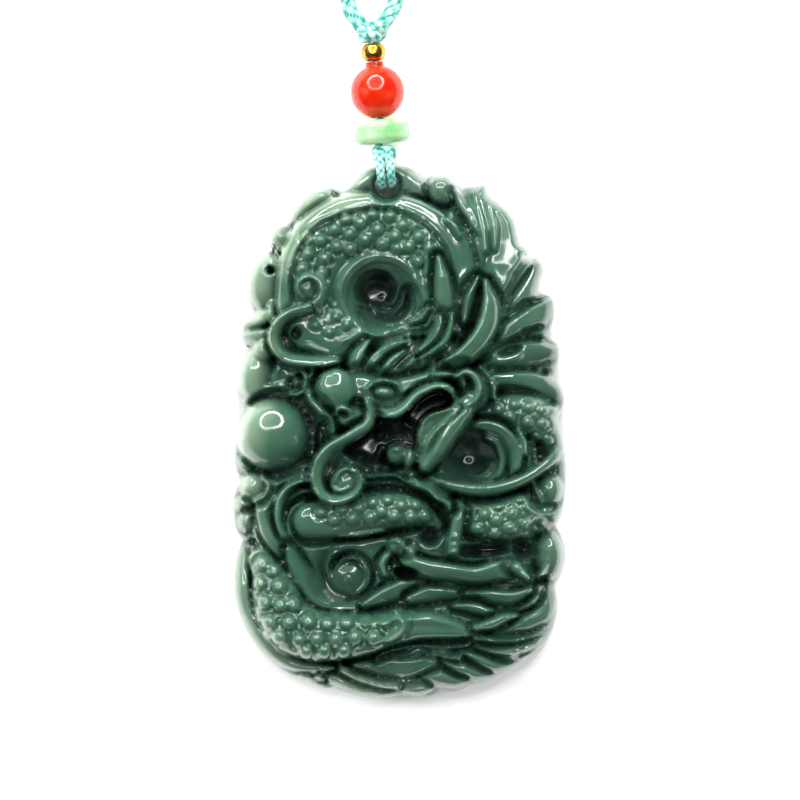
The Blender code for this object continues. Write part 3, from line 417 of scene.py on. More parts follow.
@dataclass
class DragonCarving:
    """The strokes of the carving, the lowest forms first. Places and heights are in mm.

    Attributes:
        relief: The height field that takes them.
        hole: Centre of the cord hole.
        hole_radius: Its radius.
        polish: How far the polish softens every edge.
        crisp: How far narrow lines and edges stand out against it.
        crisp_width: How wide the lines and edges are that stand out.
        tallest: The height at which the crests end.
        bed: The height at which the hollows level out.
        bed_ease: How softly they do.
    """

    relief: Relief
    hole: Point = HOLE
    hole_radius: float = 1.3
    polish: float = 0.13
    crisp: float = 0.45
    crisp_width: float = 0.45
    tallest: float = 11.3
    bed: float = 3.4
    bed_ease: float = 0.8

    def rim_clouds(self) -> None:
        """Lay one soft lobe of cloud along each scallop of the outline, and the clouds inside it."""
        r = self.relief
        # The square of the outline's width over its length, so that a lobe moves in at right angles to it.
        squash = 0.39
        for lobe, following in zip(OUTLINE, OUTLINE[1:] + OUTLINE[:1]):
            inset = min(1.5, 0.38 * math.dist(lobe[0], following[0]))
            route = []
            for x, y in lobe[1:]:
                out = math.hypot(x, squash * y)
                route.append((x - inset * x / out, y - inset * squash * y / out))
            if len(route) > 1:
                r.ridge(route, inset * 1.05, 5.6, 4.2, form=2.6)
            else:
                r.boss(route[0], (inset, inset), 5.6, 4.2)
        r.boss((-14.6, 17.0), (2.5, 3.6), 7.2, 4.8, turn=-8, form=2.6)
        r.bowl((-14.3, 18.1), (0.3, 0.35), 4.6, 0.8, wall=7)
        r.boss((-13.4, 14.0), (1.3, 1.1), 7.6, 6.6, over=True)
        r.ridge([(-17.1, 12.3), (-15.8, 12.7), (-14.2, 13.1)], (0.7, 1.0, 0.8), (6.0, 7.0, 7.6),
                (4.8, 6.0, 6.8), over=True)
        r.ridge([(-17.2, 10.7), (-15.8, 10.7), (-14.2, 11.1)], (0.7, 0.95, 0.7), (6.0, 7.0, 7.6),
                (4.8, 6.0, 6.8), over=True)
        r.boss((-16.0, 6.6), (2.3, 3.3), 7.4, 4.8, turn=6, form=2.4, over=True)
        r.boss((-14.9, 9.3), (1.2, 1.6), 7.8, 6.4, turn=-30, over=True)
        r.ridge([(-17.0, 3.6), (-15.4, 4.6), (-13.6, 5.0), (-12.3, 5.6)], (0.5, 0.7, 0.7, 0.4),
                (6.2, 7.4, 7.6), (5.0, 6.2, 6.6), over=True)
        r.boss((-17.0, -3.2), (1.1, 1.3), 5.8, 4.4)
        r.boss((-13.2, 21.8), (1.6, 1.8), 7.0, 4.8, turn=-30, form=2.6)
        r.boss((-9.7, 25.2), (1.7, 3.3), 7.2, 4.8, turn=-52, form=2.6)
        r.ridge([(-6.4, 27.3), (-4.2, 28.1), (-2.8, 28.0)], (1.0, 1.5, 1.2), (6.8, 6.4, 5.2), 4.8, form=2.6)
        r.ridge([(0.2, 28.0), (1.4, 27.7), (2.8, 27.0)], (1.4, 1.4, 1.0), (5.2, 6.2, 6.8), 4.8, form=2.6)
        r.boss((4.7, 27.0), (1.7, 1.9), 7.0, 4.8, form=2.6)
        r.boss((6.2, 26.9), (0.35, 0.3), 6.6, 5.2, over=True)

    def bottom_petals(self) -> None:
        """Lay the leaves along the bottom and the tail's fan at the lower right, the outermost first."""
        r = self.relief
        r.ridge([(-14.6, -24.9), (-12.4, -26.0), (-10.2, -26.9)], (0.7, 1.0, 0.8), 6.2, 4.2)
        r.boss((-8.4, -26.7), (1.1, 0.9), 6.4, 4.4)
        r.ridge([(-7.4, -27.2), (-4.6, -28.2), (-1.6, -28.5), (1.0, -28.2)], (0.8, 1.1, 1.1, 0.6), 5.8, 4.0)
        r.ridge([(-6.6, -26.0), (-4.4, -26.9), (-1.5, -27.6), (1.6, -27.6), (3.4, -28.1)],
                (0.6, 0.9, 0.9, 0.8, 0.4), 6.8, 4.6)
        r.ridge([(3.8, -27.9), (2.0, -28.4), (0.7, -28.5)], (0.6, 0.9, 0.5), 6.0, 4.2)
        r.ridge([(9.6, -24.2), (12.0, -24.9), (14.0, -24.5), (15.6, -23.3)], (0.7, 1.0, 0.9, 0.4),
                (7.0, 6.8, 6.2), 4.6, lean=0.4)
        r.ridge([(6.8, -24.4), (9.2, -25.6), (11.4, -26.2), (12.8, -25.8)], (0.8, 1.2, 1.0, 0.5),
                (7.0, 6.8, 6.0), 4.6, lean=0.4)
        r.ridge([(4.8, -25.0), (6.6, -26.2), (8.6, -27.0), (10.2, -27.1)], (0.8, 1.15, 1.0, 0.4),
                (7.0, 6.8, 6.0), 4.6, lean=0.4)
        r.ridge([(2.2, -25.8), (3.8, -26.8), (5.8, -27.6), (7.4, -27.7)], (0.9, 1.2, 0.9, 0.4),
                (7.0, 6.8, 6.0), 4.6, lean=0.4)
        r.ridge([(-4.8, -25.7), (-2.0, -25.9), (0.8, -26.0), (3.6, -25.4)], (0.5, 1.15, 1.3, 0.8), 7.2, 5.0,
                lean=0.55, form=2.4)
        r.swell([(-3.6, -25.5), (-1.2, -24.95), (0.2, -24.6), (3.2, -24.8)], 0.2, 0.5)
        r.ridge([(3.6, -24.2), (5.0, -24.4), (6.6, -24.9)], (0.4, 0.65, 0.4), 7.6, 5.6)
        r.ridge([(-2.6, -24.7), (-0.6, -23.9), (2.0, -23.5), (5.4, -23.7), (7.8, -23.4)],
                (0.3, 0.42, 0.42, 0.42, 0.3), 6.8, 5.2)
        r.ridge([(8.6, -23.6), (10.6, -24.0), (12.8, -23.9), (15.0, -23.0), (16.3, -21.8)],
                (0.4, 0.65, 0.75, 0.65, 0.3), (7.4, 7.6, 7.4, 6.8, 5.8), 5.4, lean=0.4)
        r.ridge([(8.4, -22.6), (10.6, -22.7), (13.0, -22.5), (15.2, -21.8), (16.8, -20.6)],
                (0.5, 0.75, 0.8, 0.75, 0.35), (7.8, 8.0, 7.8, 7.0, 5.8), 5.6, lean=0.35)
        r.ridge([(9.6, -21.3), (12.0, -21.3), (14.4, -20.8), (16.3, -19.6), (17.0, -17.9)],
                (0.6, 1.0, 1.15, 1.0, 0.5), (8.2, 8.2, 7.8, 6.8, 5.8), 5.6, form=2.2, lean=0.3)
        r.swell([(13.0, -20.5), (14.8, -20.1), (15.9, -19.1), (16.5, -17.4)], 0.2, 0.45)
        r.ridge([(13.4, -19.5), (14.8, -18.6), (15.5, -17.0)], (0.3, 0.5, 0.4), (7.2, 7.4, 6.8), 5.4)

    def mane(self) -> None:
        """Lay the tall flame at the top right and the locks that sweep out to the right edge."""
        r = self.relief
        r.boss((11.2, 11.6), (3.6, 7.6), 7.8, 5.0, turn=-4, form=3.0)
        r.ridge([(6.2, 26.8), (6.9, 25.4), (7.8, 23.8)], (0.5, 0.8, 0.5), (6.0, 7.0, 7.8), 5.2)
        r.ridge([(9.7, 27.0), (10.9, 24.6), (11.7, 21.6), (11.8, 18.6), (11.5, 15.6), (11.8, 13.0)],
                (0.7, 2.0, 2.7, 3.0, 2.5, 0.9), (6.8, 8.3, 8.8, 9.1, 9.1, 8.6),
                (4.8, 5.6, 6.6, 7.2, 7.4, 7.4), form=3.2, lean=0.2)
        r.ridge([(9.3, 27.4), (10.0, 24.9), (10.5, 22.5), (10.5, 20.4)], (0.35, 0.7, 0.75, 0.4),
                (6.2, 8.0, 9.3, 9.6), 7.4, over=True)
        r.ridge([(8.3, 27.3), (8.8, 24.8), (9.3, 22.4), (9.5, 20.2)], (0.6, 0.9, 0.9, 0.5),
                (6.0, 7.8, 9.0, 9.4), (5.2, 6.6, 7.8, 8.0), over=True)
        r.ridge([(7.4, 26.6), (7.8, 25.2), (8.2, 23.6), (8.9, 22.0)], (0.4, 0.7, 0.8, 0.5),
                (5.8, 7.2, 8.2, 8.8), (5.0, 6.2, 7.2, 7.6), over=True)
        r.boss((8.9, 20.0), (1.2, 2.6), 8.8, 7.4, over=True)
        r.ridge([(12.4, 12.7), (13.2, 14.6), (14.5, 16.4), (15.3, 18.7)], (0.6, 1.15, 1.35, 0.6),
                (8.4, 8.2, 7.2, 6.0), (7.2, 6.2, 5.4, 4.8), lean=0.35)
        r.ridge([(11.2, 10.8), (13.0, 11.8), (15.0, 12.9), (16.7, 14.2)], (0.8, 1.4, 1.7, 0.9),
                (8.8, 8.2, 7.2, 5.8), (7.4, 6.0, 5.2, 4.6), lean=0.4)
        r.ridge([(14.4, 10.7), (15.6, 11.0), (16.6, 11.6)], (0.4, 0.7, 0.4), (6.8, 6.4, 5.8), 5.0)
        r.ridge([(9.8, 8.3), (12.2, 8.4), (14.6, 8.9), (16.6, 9.0), (17.6, 9.1)], (0.8, 1.4, 1.75, 1.5, 0.6),
                (8.8, 8.4, 7.6, 6.6, 5.6), (7.4, 6.2, 5.4, 4.8, 4.6), lean=0.3)
        r.ridge([(10.6, 5.9), (12.8, 5.6), (15.2, 5.2), (17.2, 4.6), (18.1, 3.8)], (0.9, 1.5, 1.75, 1.5, 0.7),
                (8.6, 8.2, 7.4, 6.4, 5.6), (7.2, 6.2, 5.4, 4.8, 4.6), form=2.2, lean=0.35)
        r.bowl((12.4, 9.3), (1.2, 0.42), 6.2, 0.8, turn=16, wall=2.0)
        r.swell([(10.8, 7.9), (12.2, 8.1), (13.4, 8.7)], 0.3, 0.3)

    def side_ring(self) -> None:
        """Lay the pit at the right with its rings, and the scaly body behind it."""
        r = self.relief
        behind = [(9.6, 2.8), (12.2, 2.6), (15.0, 1.8), (16.8, 0.2), (17.5, -2.0)]
        r.ridge(behind, (1.4, 2.1, 2.4, 2.1, 1.2), (8.0, 8.4, 8.2, 7.4, 6.2), 5.4, form=3.0)
        r.cells([(10.9, 2.7), (12.7, 3.2), (14.3, 2.9), (12.2, 1.7), (14.2, 1.2), (15.9, 1.0), (15.9, 2.6),
                 (16.4, -0.8), (15.0, -0.6)], 0.66, 0.4, 0.3)
        r.ridge([(7.2, -0.2), (8.8, 0.7), (10.5, 0.5), (12.0, -0.6), (12.8, -2.2), (12.7, -4.4)],
                (0.5, 0.9, 1.0, 1.0, 0.95, 0.7), (8.2, 8.8, 8.8, 8.8, 8.6, 8.4), 6.2, lean=0.6)
        r.ridge([(13.1, 0.4), (13.7, -0.8), (13.9, -2.2)], (0.35, 0.5, 0.35), 8.8, 7.0, over=True)
        r.bowl((7.8, -2.6), (3.3, 2.9), 2.6, 4.2, wall=2.4, form=1.4)
        r.ridge([(9.6, -0.4), (10.8, -1.0), (11.4, -2.2), (11.4, -3.6), (10.9, -4.8)],
                (0.35, 0.5, 0.55, 0.5, 0.35), 7.8, 6.4, over=True)
        r.ridge([(6.8, -4.8), (8.4, -5.0), (9.7, -4.3), (10.3, -3.2)], (0.25, 0.4, 0.42, 0.25),
                (5.4, 6.0, 6.6, 6.8), 4.6, over=True)
        r.ridge([(8.0, -4.5), (9.0, -4.2), (9.7, -3.4)], 0.2, (4.6, 5.0, 5.4), 3.8, over=True)
        r.boss((7.7, -3.0), (0.4, 0.36), 3.5, 2.4, over=True)

    def lower_coils(self) -> None:
        """Lay the coils of the body that cross the lower half, with the fins at their left."""
        r = self.relief
        right = [(6.6, -8.8), (9.0, -9.3), (12.0, -9.3), (15.0, -8.8), (18.0, -7.6)]
        r.ridge(right, (1.8, 2.6, 2.8, 2.6, 1.6), (9.0, 9.6, 9.6, 8.8, 6.8), 5.4, form=3.2)
        r.cells([(7.2, -8.3), (9.4, -8.9), (10.9, -7.8), (13.3, -7.1), (8.6, -10.6), (10.7, -9.5),
                 (12.5, -8.8), (14.5, -8.1), (10.5, -11.2), (12.2, -10.5), (14.0, -10.0), (15.6, -9.6),
                 (16.4, -8.4), (9.1, -7.3)], 0.7, 0.5, 0.3)
        r.boss((16.6, -6.3), (1.6, 1.8), 7.6, 5.6)
        r.ridge([(14.8, -5.2), (15.1, -6.4), (15.8, -7.6)], 0.25, 8.4, 7.0, over=True)
        middle = [(-10.0, -9.6), (-8.0, -9.5), (-5.0, -9.0), (-1.0, -8.5), (2.2, -8.8), (4.2, -10.0)]
        r.ridge(middle, (2.35, 2.4, 2.4, 2.35, 2.0, 0.9), (9.0, 9.4, 9.4, 9.4, 9.2, 7.6), 5.2, form=3.0)
        r.cells([(-8.6, -8.6), (-7.2, -9.5), (-6.3, -8.2), (-5.2, -9.4), (-4.5, -8.1), (-3.2, -9.3),
                 (-3.0, -7.5), (-2.0, -8.6), (-1.3, -7.2), (-0.6, -9.2), (0.2, -7.9), (1.3, -9.3),
                 (1.9, -7.8), (2.9, -9.2)], 0.72, 0.5, 0.3)
        r.ridge([(-6.6, -11.3), (-4.2, -11.05), (-1.8, -10.7)], (0.3, 0.5, 0.3), 8.6, 6.6, over=True)
        r.boss((-17.3, -7.8), (1.1, 1.1), 6.2, 4.6)
        r.boss((-16.8, -9.8), (1.3, 1.3), 6.4, 4.6)
        r.ridge([(-15.8, -9.8), (-15.4, -11.4), (-14.2, -12.9), (-12.6, -14.0), (-11.2, -14.7)],
                (0.5, 0.75, 0.8, 0.75, 0.4), 7.2, 5.2)
        fins = [(-10.0, -4.6), (-12.4, -4.9), (-14.2, -6.4), (-14.7, -8.6), (-14.2, -10.8), (-12.9, -12.7),
                (-10.8, -14.3)]
        r.ridge(fins, (0.8, 1.2, 1.3, 1.35, 1.35, 1.2, 0.5), (7.8, 8.2, 8.4, 8.4, 8.2, 7.8, 7.2), 5.6,
                form=3.0)
        for shift in (0.4, -0.05, -0.5):
            r.groove([(x + shift * (-9 - x) / 5, y + shift * (-10 - y) / 5) for x, y in fins[1:]], 0.13, 0.42)
        r.ridge([(-9.6, -5.2), (-11.4, -5.5), (-12.9, -6.8), (-13.4, -8.8), (-13.0, -10.8), (-11.9, -12.4),
                 (-10.6, -13.6)], (0.3, 0.5, 0.6, 0.6, 0.55, 0.5, 0.3), (8.6, 9.0, 9.0, 9.0, 8.6, 8.0, 7.4),
                6.4, lean=-0.3)
        r.ridge([(-10.6, -7.4), (-11.8, -8.3), (-12.35, -9.7), (-12.0, -11.2), (-11.0, -12.5)],
                (0.18, 0.26, 0.28, 0.26, 0.18), 8.6, 7.2, over=True)
        r.boss((-16.2, -5.9), (1.6, 1.6), 7.2, 5.0)
        r.ridge([(-15.2, -4.6), (-14.5, -5.6), (-14.8, -6.8), (-16.0, -7.5)], 0.3, 7.8, 6.4, over=True)
        r.ridge([(-13.9, -4.2), (-12.2, -3.9), (-10.2, -3.4)], (0.4, 0.6, 0.4), 7.6, 5.6)

    def tail(self) -> None:
        """Lay the spiral hollow and the broad tail that sweeps round it."""
        r = self.relief
        r.ridge([(-17.6, -13.2), (-17.7, -16.2), (-17.2, -19.4), (-15.9, -22.2), (-14.0, -24.2),
                 (-11.4, -25.6), (-7.4, -26.0)], (0.8, 1.2, 1.3, 1.3, 1.1, 0.8, 0.4),
                (5.8, 6.4, 6.6, 6.6, 6.4, 6.2), 4.8, form=3.0)
        r.ridge([(-12.0, -12.9), (-11.2, -15.0), (-9.6, -17.4), (-7.4, -18.9), (-4.4, -19.2)],
                (0.8, 1.3, 1.5, 1.3, 0.8), 7.6, 5.6, lean=-0.6)
        r.bowl((-6.2, -15.9), (4.4, 3.7), 4.4, 3.0, turn=-20, wall=2.6, form=1.4)
        r.boss((-5.6, -15.9), (2.7, 2.5), 6.6, 4.8, over=True)
        r.ridge([(-3.8, -12.6), (-6.0, -12.7), (-7.5, -13.5), (-8.05, -14.9), (-7.7, -16.3)],
                (0.15, 0.28, 0.3, 0.28, 0.15), (6.8, 7.0, 7.0, 6.8, 6.4), 5.4, over=True)
        spiral = [(-7.2, -15.0), (-6.5, -14.2), (-5.2, -13.65), (-4.0, -14.1), (-3.4, -15.3), (-3.5, -16.5),
                  (-4.3, -17.5), (-5.6, -18.0)]
        r.groove([(x - 0.35 * (-5.6 - x) / 2, y - 0.35 * (-15.9 - y) / 2) for x, y in spiral], 0.25, 0.7)
        r.ridge(spiral, (0.15, 0.28, 0.32, 0.32, 0.32, 0.3, 0.28, 0.15),
                (6.4, 6.8, 7.2, 7.2, 7.2, 7.0, 6.6, 5.8), 5.4, over=True)
        r.boss((-5.6, -16.0), (0.8, 0.85), 7.0, 5.8, over=True)
        route = [(-15.4, -14.0), (-14.5, -15.8), (-13.7, -18.2), (-12.4, -20.8), (-10.0, -22.2),
                 (-7.0, -22.5), (-4.2, -22.2), (-1.0, -21.4), (2.2, -21.1), (5.3, -21.5), (7.5, -21.9),
                 (8.5, -22.0)]
        r.ridge(route, (1.3, 2.2, 2.8, 3.05, 2.95, 2.75, 2.55, 2.2, 2.0, 1.65, 1.15, 0.4),
                (7.4, 8.6, 9.4, 9.9, 10.0, 10.0, 9.9, 9.9, 9.7, 9.4, 8.8, 8.0), 6.6, form=3.4)
        r.cells([(-15.2, -14.4), (-13.9, -15.1), (-15.5, -16.5), (-13.3, -16.8), (-14.9, -18.6),
                 (-13.1, -18.9), (-11.6, -18.8), (-14.4, -20.9), (-12.2, -20.8), (-10.0, -20.7),
                 (-7.9, -20.9), (-5.8, -20.8), (-3.7, -20.5), (-1.6, -20.6), (-13.3, -22.5), (-11.1, -22.8),
                 (-9.1, -22.7), (-7.0, -22.7), (-4.9, -22.5), (-2.8, -22.6), (-10.3, -24.2), (-8.3, -24.1),
                 (-6.1, -24.1)], 0.86, 0.75, 0.5)
        r.swell([(1.3, -20.3), (3.2, -20.4), (5.4, -20.8)], 0.5, 0.25)
        r.ridge([(-0.5, -19.6), (0.3, -20.5), (0.3, -21.6), (-0.6, -22.4), (-2.0, -22.9)],
                (0.25, 0.4, 0.42, 0.4, 0.2), 10.5, 9.4, over=True)
        r.groove([(0.9, -19.6), (1.3, -21.0), (0.8, -22.3), (-0.4, -23.1)], 0.2, 0.4)
        r.swell([(-16.7, -13.6), (-16.8, -17.6), (-16.1, -20.8), (-14.6, -23.2), (-12.4, -24.7)], 0.18, 0.45)

    def foot(self) -> None:
        """Lay the leaves below the foot, the clawed foot with its arm, and the fin above them."""
        r = self.relief
        r.boss((16.6, -13.5), (1.7, 2.8), 7.4, 4.8, form=2.4)
        r.ridge([(15.4, -15.8), (16.2, -14.7), (16.5, -12.8)], 0.32, 7.8, 6.4, over=True)
        r.bowl((13.9, -12.9), (1.5, 1.0), 3.8, 2.2, turn=-20, wall=3.5, form=1.2)
        r.bowl((9.4, -12.9), (3.0, 0.75), 4.2, 2.0, turn=3, wall=3.5)
        r.bowl((3.4, -11.4), (1.4, 1.2), 4.4, 3.0, wall=3.5, form=1.2)
        r.boss((3.7, -12.8), (0.9, 0.35), 5.6, 4.2, over=True)
        r.ridge([(-3.8, -19.0), (-1.8, -18.1), (0.2, -17.3), (2.4, -16.8)], (0.6, 1.1, 1.3, 0.8), 8.0, 5.6,
                lean=0.5, form=2.2)
        r.ridge([(1.2, -18.4), (3.2, -17.8), (5.4, -17.4), (7.6, -17.8)], (0.7, 1.15, 1.2, 0.7), 8.2, 5.6,
                lean=0.5, form=2.2)
        r.ridge([(7.4, -16.8), (9.2, -17.1), (11.0, -17.1), (13.2, -16.9)], (0.3, 0.5, 0.5, 0.3), 7.8, 5.8)
        r.ridge([(7.6, -17.8), (9.8, -18.0), (12.4, -18.2), (14.4, -17.4)], (0.6, 1.0, 1.0, 0.5), 8.2, 5.6,
                lean=0.45)
        r.ridge([(6.2, -19.1), (8.2, -19.3), (10.6, -20.0)], (0.5, 0.85, 0.5), 8.2, 5.8, lean=0.3)
        r.ridge([(8.4, -21.5), (10.2, -21.1), (11.8, -20.4), (13.0, -20.1)], (0.5, 0.8, 0.75, 0.3), 8.9, 6.2,
                lean=0.3)
        r.ridge([(6.7, -7.6), (6.5, -9.4), (6.1, -11.4), (5.9, -13.4)], (0.7, 0.85, 0.9, 0.8),
                (9.6, 9.6, 9.4, 9.0), 6.8, form=2.6)
        for y, rise in ((-11.5, 0.35), (-12.4, 0.3), (-13.1, 0.3)):
            r.swell([(5.4, y), (6.1, y + 0.15), (6.7, y)], 0.2, rise)
        r.ridge([(0.2, -12.8), (1.2, -14.2), (3.0, -15.0), (5.6, -15.4), (8.6, -15.7), (10.8, -15.2),
                 (12.8, -14.8)], (0.9, 1.1, 1.2, 1.15, 1.1, 1.3, 1.2), (9.6, 9.8, 9.8, 9.6, 9.4, 9.3, 8.8),
                6.0, lean=0.5, form=2.4)
        r.ridge([(12.9, -14.8), (14.1, -15.9)], (0.95, 0.55), 8.8, 6.0)
        r.boss((-0.3, -12.5), (1.25, 1.2), 10.2, 7.0)
        r.boss((1.3, -13.1), (0.55, 0.85), 10.2, 8.6, turn=15, over=True)
        r.ridge([(-1.3, -13.4), (-1.9, -14.4), (-1.6, -15.6)], (0.6, 0.7, 0.45), 9.0, 6.0)
        r.bowl((0.6, -15.5), (1.0, 0.45), 4.2, 1.0, turn=-12)
        r.boss((8.3, -13.9), (0.8, 0.5), 6.2, 4.6, over=True)
        r.ridge([(0.9, -5.3), (2.4, -5.6), (4.0, -6.2), (5.1, -7.2), (5.5, -8.3)],
                (0.4, 0.8, 0.95, 0.85, 0.4), 9.9, 7.0, lean=0.2)
        r.boss((4.3, -6.9), (1.1, 0.55), 10.5, 9.6, turn=-38, over=True)
        r.ridge([(3.6, -4.9), (6.0, -5.9), (9.0, -6.3), (12.0, -5.8), (14.8, -4.5), (17.1, -2.6),
                 (18.2, -0.9)], (0.35, 0.75, 0.85, 0.8, 0.72, 0.65, 0.4),
                (9.9, 10.2, 10.2, 9.8, 9.0, 7.8, 6.2), 6.6, form=2.6, lean=0.35)

    def upper_ring(self) -> None:
        """Lay the body's arc round the deep upper pit, its scales, and the smooth band outside it."""
        r = self.relief
        arc = [(-9.2, 10.4), (-10.0, 13.2), (-10.0, 16.0), (-9.4, 18.8), (-7.6, 21.4), (-5.2, 22.8),
               (-2.6, 23.1), (0.2, 22.8), (2.6, 21.7), (4.5, 19.9), (5.4, 17.6), (5.0, 14.4)]
        r.ridge(arc, (2.6, 3.6, 3.8, 3.9, 4.1, 3.9, 3.65, 3.7, 3.7, 3.6, 3.2, 2.2), (8.6, 9.2, 9.4),
                (6.4, 6.4, 6.4, 6.4, 6.4, 6.6, 7.6, 7.8), form=4.5)
        r.boss((-7.0, 11.4), (4.9, 3.9), 9.2, 5.2, form=4.0, over=True)
        r.boss((0.6, 11.2), (5.6, 3.2), 9.0, 5.2, turn=8, form=4.0, over=True)
        band = [(-12.1, 14.6), (-12.2, 17.2), (-11.4, 20.2), (-9.6, 22.7), (-6.4, 24.4), (-3.0, 25.1),
                (0.0, 24.8), (2.2, 23.9), (3.8, 22.6), (5.2, 20.9), (6.0, 18.6), (6.1, 16.4)]
        r.groove([(x + 0.3 * (-2 - x) / 9, y + 0.3 * (15 - y) / 9) for x, y in band], 0.22, 0.65)
        r.swell([(x - 0.1 * (-2 - x) / 9, y - 0.1 * (15 - y) / 9) for x, y in band], 0.15, 0.35)
        r.cells([(-10.1, 19.8), (-8.7, 21.3), (-8.3, 19.3), (-7.15, 22.5), (-6.9, 20.6), (-5.5, 22.0),
                 (-5.4, 20.3), (-4.3, 23.2), (-3.8, 21.4), (-2.4, 22.5), (-3.0, 24.2), (-5.9, 23.7),
                 (-1.9, 20.8), (-0.3, 20.3), (0.3, 23.0), (2.1, 21.7), (1.0, 20.6), (1.9, 18.9),
                 (-10.7, 18.1), (-8.6, 17.6), (-1.0, 24.1), (-0.5, 21.8), (3.3, 20.4), (-10.2, 21.5)], 0.74,
                0.62, 0.5)
        r.domes([(-7.2, 14.4), (-7.0, 12.9), (-9.3, 12.0), (-7.7, 11.2), (-5.8, 12.0), (-8.6, 15.6),
                 (-8.9, 13.6)], 0.58, 0.45)
        r.domes([(-0.6, 11.3), (2.9, 14.4), (3.0, 16.6), (0.9, 10.9)], 0.6, 0.4)
        r.swell([(-10.2, 9.9), (-9.2, 9.3), (-7.8, 8.8)], 0.22, 0.5)
        r.swell([(-6.4, 10.1), (-5.4, 10.6), (-4.3, 11.2)], 0.22, 0.5)
        r.ridge([(5.2, 23.6), (5.9, 23.0), (6.7, 21.7)], (0.3, 0.5, 0.25), 9.9, 9.0, over=True)
        r.ridge([(3.2, 21.4), (3.3, 19.6), (3.0, 17.6)], (0.3, 0.55, 0.3), 9.7, 8.8, over=True)
        r.boss((-2.0, 15.3), (5.4, 5.2), 9.2, 8.4, form=8.0, over=True)
        r.bowl((-2.1, 15.3), (3.9, 3.8), 3.6, 5.0, wall=1.6, form=1.1)
        for share in (1.0, 0.87):
            turn = [
                (-2.1 + share * 4.35 * math.cos(a / 5), 15.3 + share * 4.3 * math.sin(a / 5))
                for a in range(3, 17)
            ]
            r.groove([(x * 0.95 - 0.1, y * 0.95 + 0.76) for x, y in turn], 0.2, 0.3)
            r.swell(turn, 0.14, (0.1, 0.35, 0.45, 0.45, 0.3))
        r.bowl((-2.5, 15.8), (1.5, 1.4), 2.2, 1.2, wall=1.4)
        r.ridge([(-3.7, 13.8), (-2.7, 12.75), (-1.2, 12.3), (0.4, 12.7), (1.3, 13.9), (1.2, 15.4)],
                (0.2, 0.4, 0.5, 0.5, 0.45, 0.25), (5.4, 6.4, 7.0, 7.2, 7.2, 6.8),
                (4.4, 5.0, 5.4, 5.8, 6.0, 6.0))
        r.ridge([(-3.0, 14.2), (-2.0, 13.5), (-0.7, 13.5), (0.2, 14.2), (0.6, 15.6)],
                (0.2, 0.36, 0.4, 0.4, 0.3), (4.2, 4.8, 5.4, 6.0, 6.2), (3.2, 3.6, 4.0, 4.6, 5.0))
        r.boss((-2.0, 15.15), (0.32, 0.3), 3.4, 2.4, over=True)

    def brow(self) -> None:
        """Lay the ear, the brow's leaves and the horn band behind the head."""
        r = self.relief
        r.boss((1.0, 6.9), (7.4, 3.6), 8.6, 5.6, turn=12, form=3.0)
        r.ridge([(8.7, 17.2), (7.7, 15.2), (7.1, 12.4)], (0.5, 1.0, 0.6), 8.8, 7.0, sharp=0.8)
        r.ridge([(4.3, 19.4), (4.7, 17.2), (4.9, 15.2), (5.3, 13.0)], (0.5, 1.1, 1.25, 0.8),
                (9.9, 10.4, 10.3, 9.8), 7.6, form=2.2)
        r.ridge([(3.2, 13.9), (2.3, 12.7), (1.2, 12.3)], (0.3, 0.5, 0.3), 9.2, 7.4)
        r.ridge([(4.4, 12.9), (4.2, 11.2), (3.3, 9.9), (1.9, 9.0)], (0.5, 0.95, 0.8, 0.4),
                (9.6, 10.0, 10.0, 9.6), 7.6, lean=0.5)
        r.ridge([(5.8, 13.2), (5.6, 11.6), (5.0, 10.2), (3.8, 9.1), (2.2, 8.2)], (0.3, 0.5, 0.5, 0.42, 0.25),
                10.4, 8.2)
        r.groove([(3.7, 12.0), (3.6, 11.0), (2.9, 10.0)], 0.16, 0.4)
        r.ridge([(-3.6, 10.1), (-4.5, 8.9), (-5.2, 7.4)], (0.5, 0.95, 0.75), (9.4, 9.9, 9.9), 7.6, lean=0.3)
        r.ridge([(1.2, 10.2), (-1.0, 9.5), (-2.7, 8.3), (-4.0, 6.7)], (0.3, 0.68, 0.68, 0.35), 10.2, 8.0,
                form=3.0)
        r.groove([(1.0, 10.2), (-1.1, 9.6), (-2.7, 8.4), (-3.8, 7.0)], 0.16, 0.4)
        r.ridge([(0.5, 9.1), (-0.7, 8.2), (-2.1, 6.7)], (0.35, 0.62, 0.35), 10.2, 8.2)
        r.ridge([(1.6, 8.2), (0.8, 7.2), (0.1, 6.3)], (0.3, 0.48, 0.3), 10.3, 8.6)
        r.ridge([(2.7, 7.9), (2.3, 7.1), (1.9, 6.3)], (0.25, 0.4, 0.25), 10.3, 8.8)
        r.ridge([(3.8, 7.7), (3.5, 7.2), (3.1, 6.6)], (0.22, 0.36, 0.22), 10.3, 8.8)
        r.ridge([(9.6, 16.8), (10.1, 14.6), (9.9, 12.4), (8.9, 10.3), (7.2, 8.6), (5.0, 7.4), (2.6, 6.5),
                 (0.4, 6.2)], (0.5, 1.15, 1.4, 1.4, 1.25, 0.9, 0.5, 0.3),
                (9.4, 10.2, 10.6, 10.8, 10.8, 10.6, 10.2, 9.6), 7.2, lean=-0.5, form=2.2)
        r.groove([(11.2, 12.2), (10.2, 10.2), (8.8, 8.6), (7.4, 7.4), (5.8, 6.4)], 0.14, 0.4)

    def pearl(self) -> None:
        """Lay the pearl beside the head."""
        self.relief.boss((-13.9, -0.1), (4.3, 4.3), 9.4, 4.4, form=2.4)

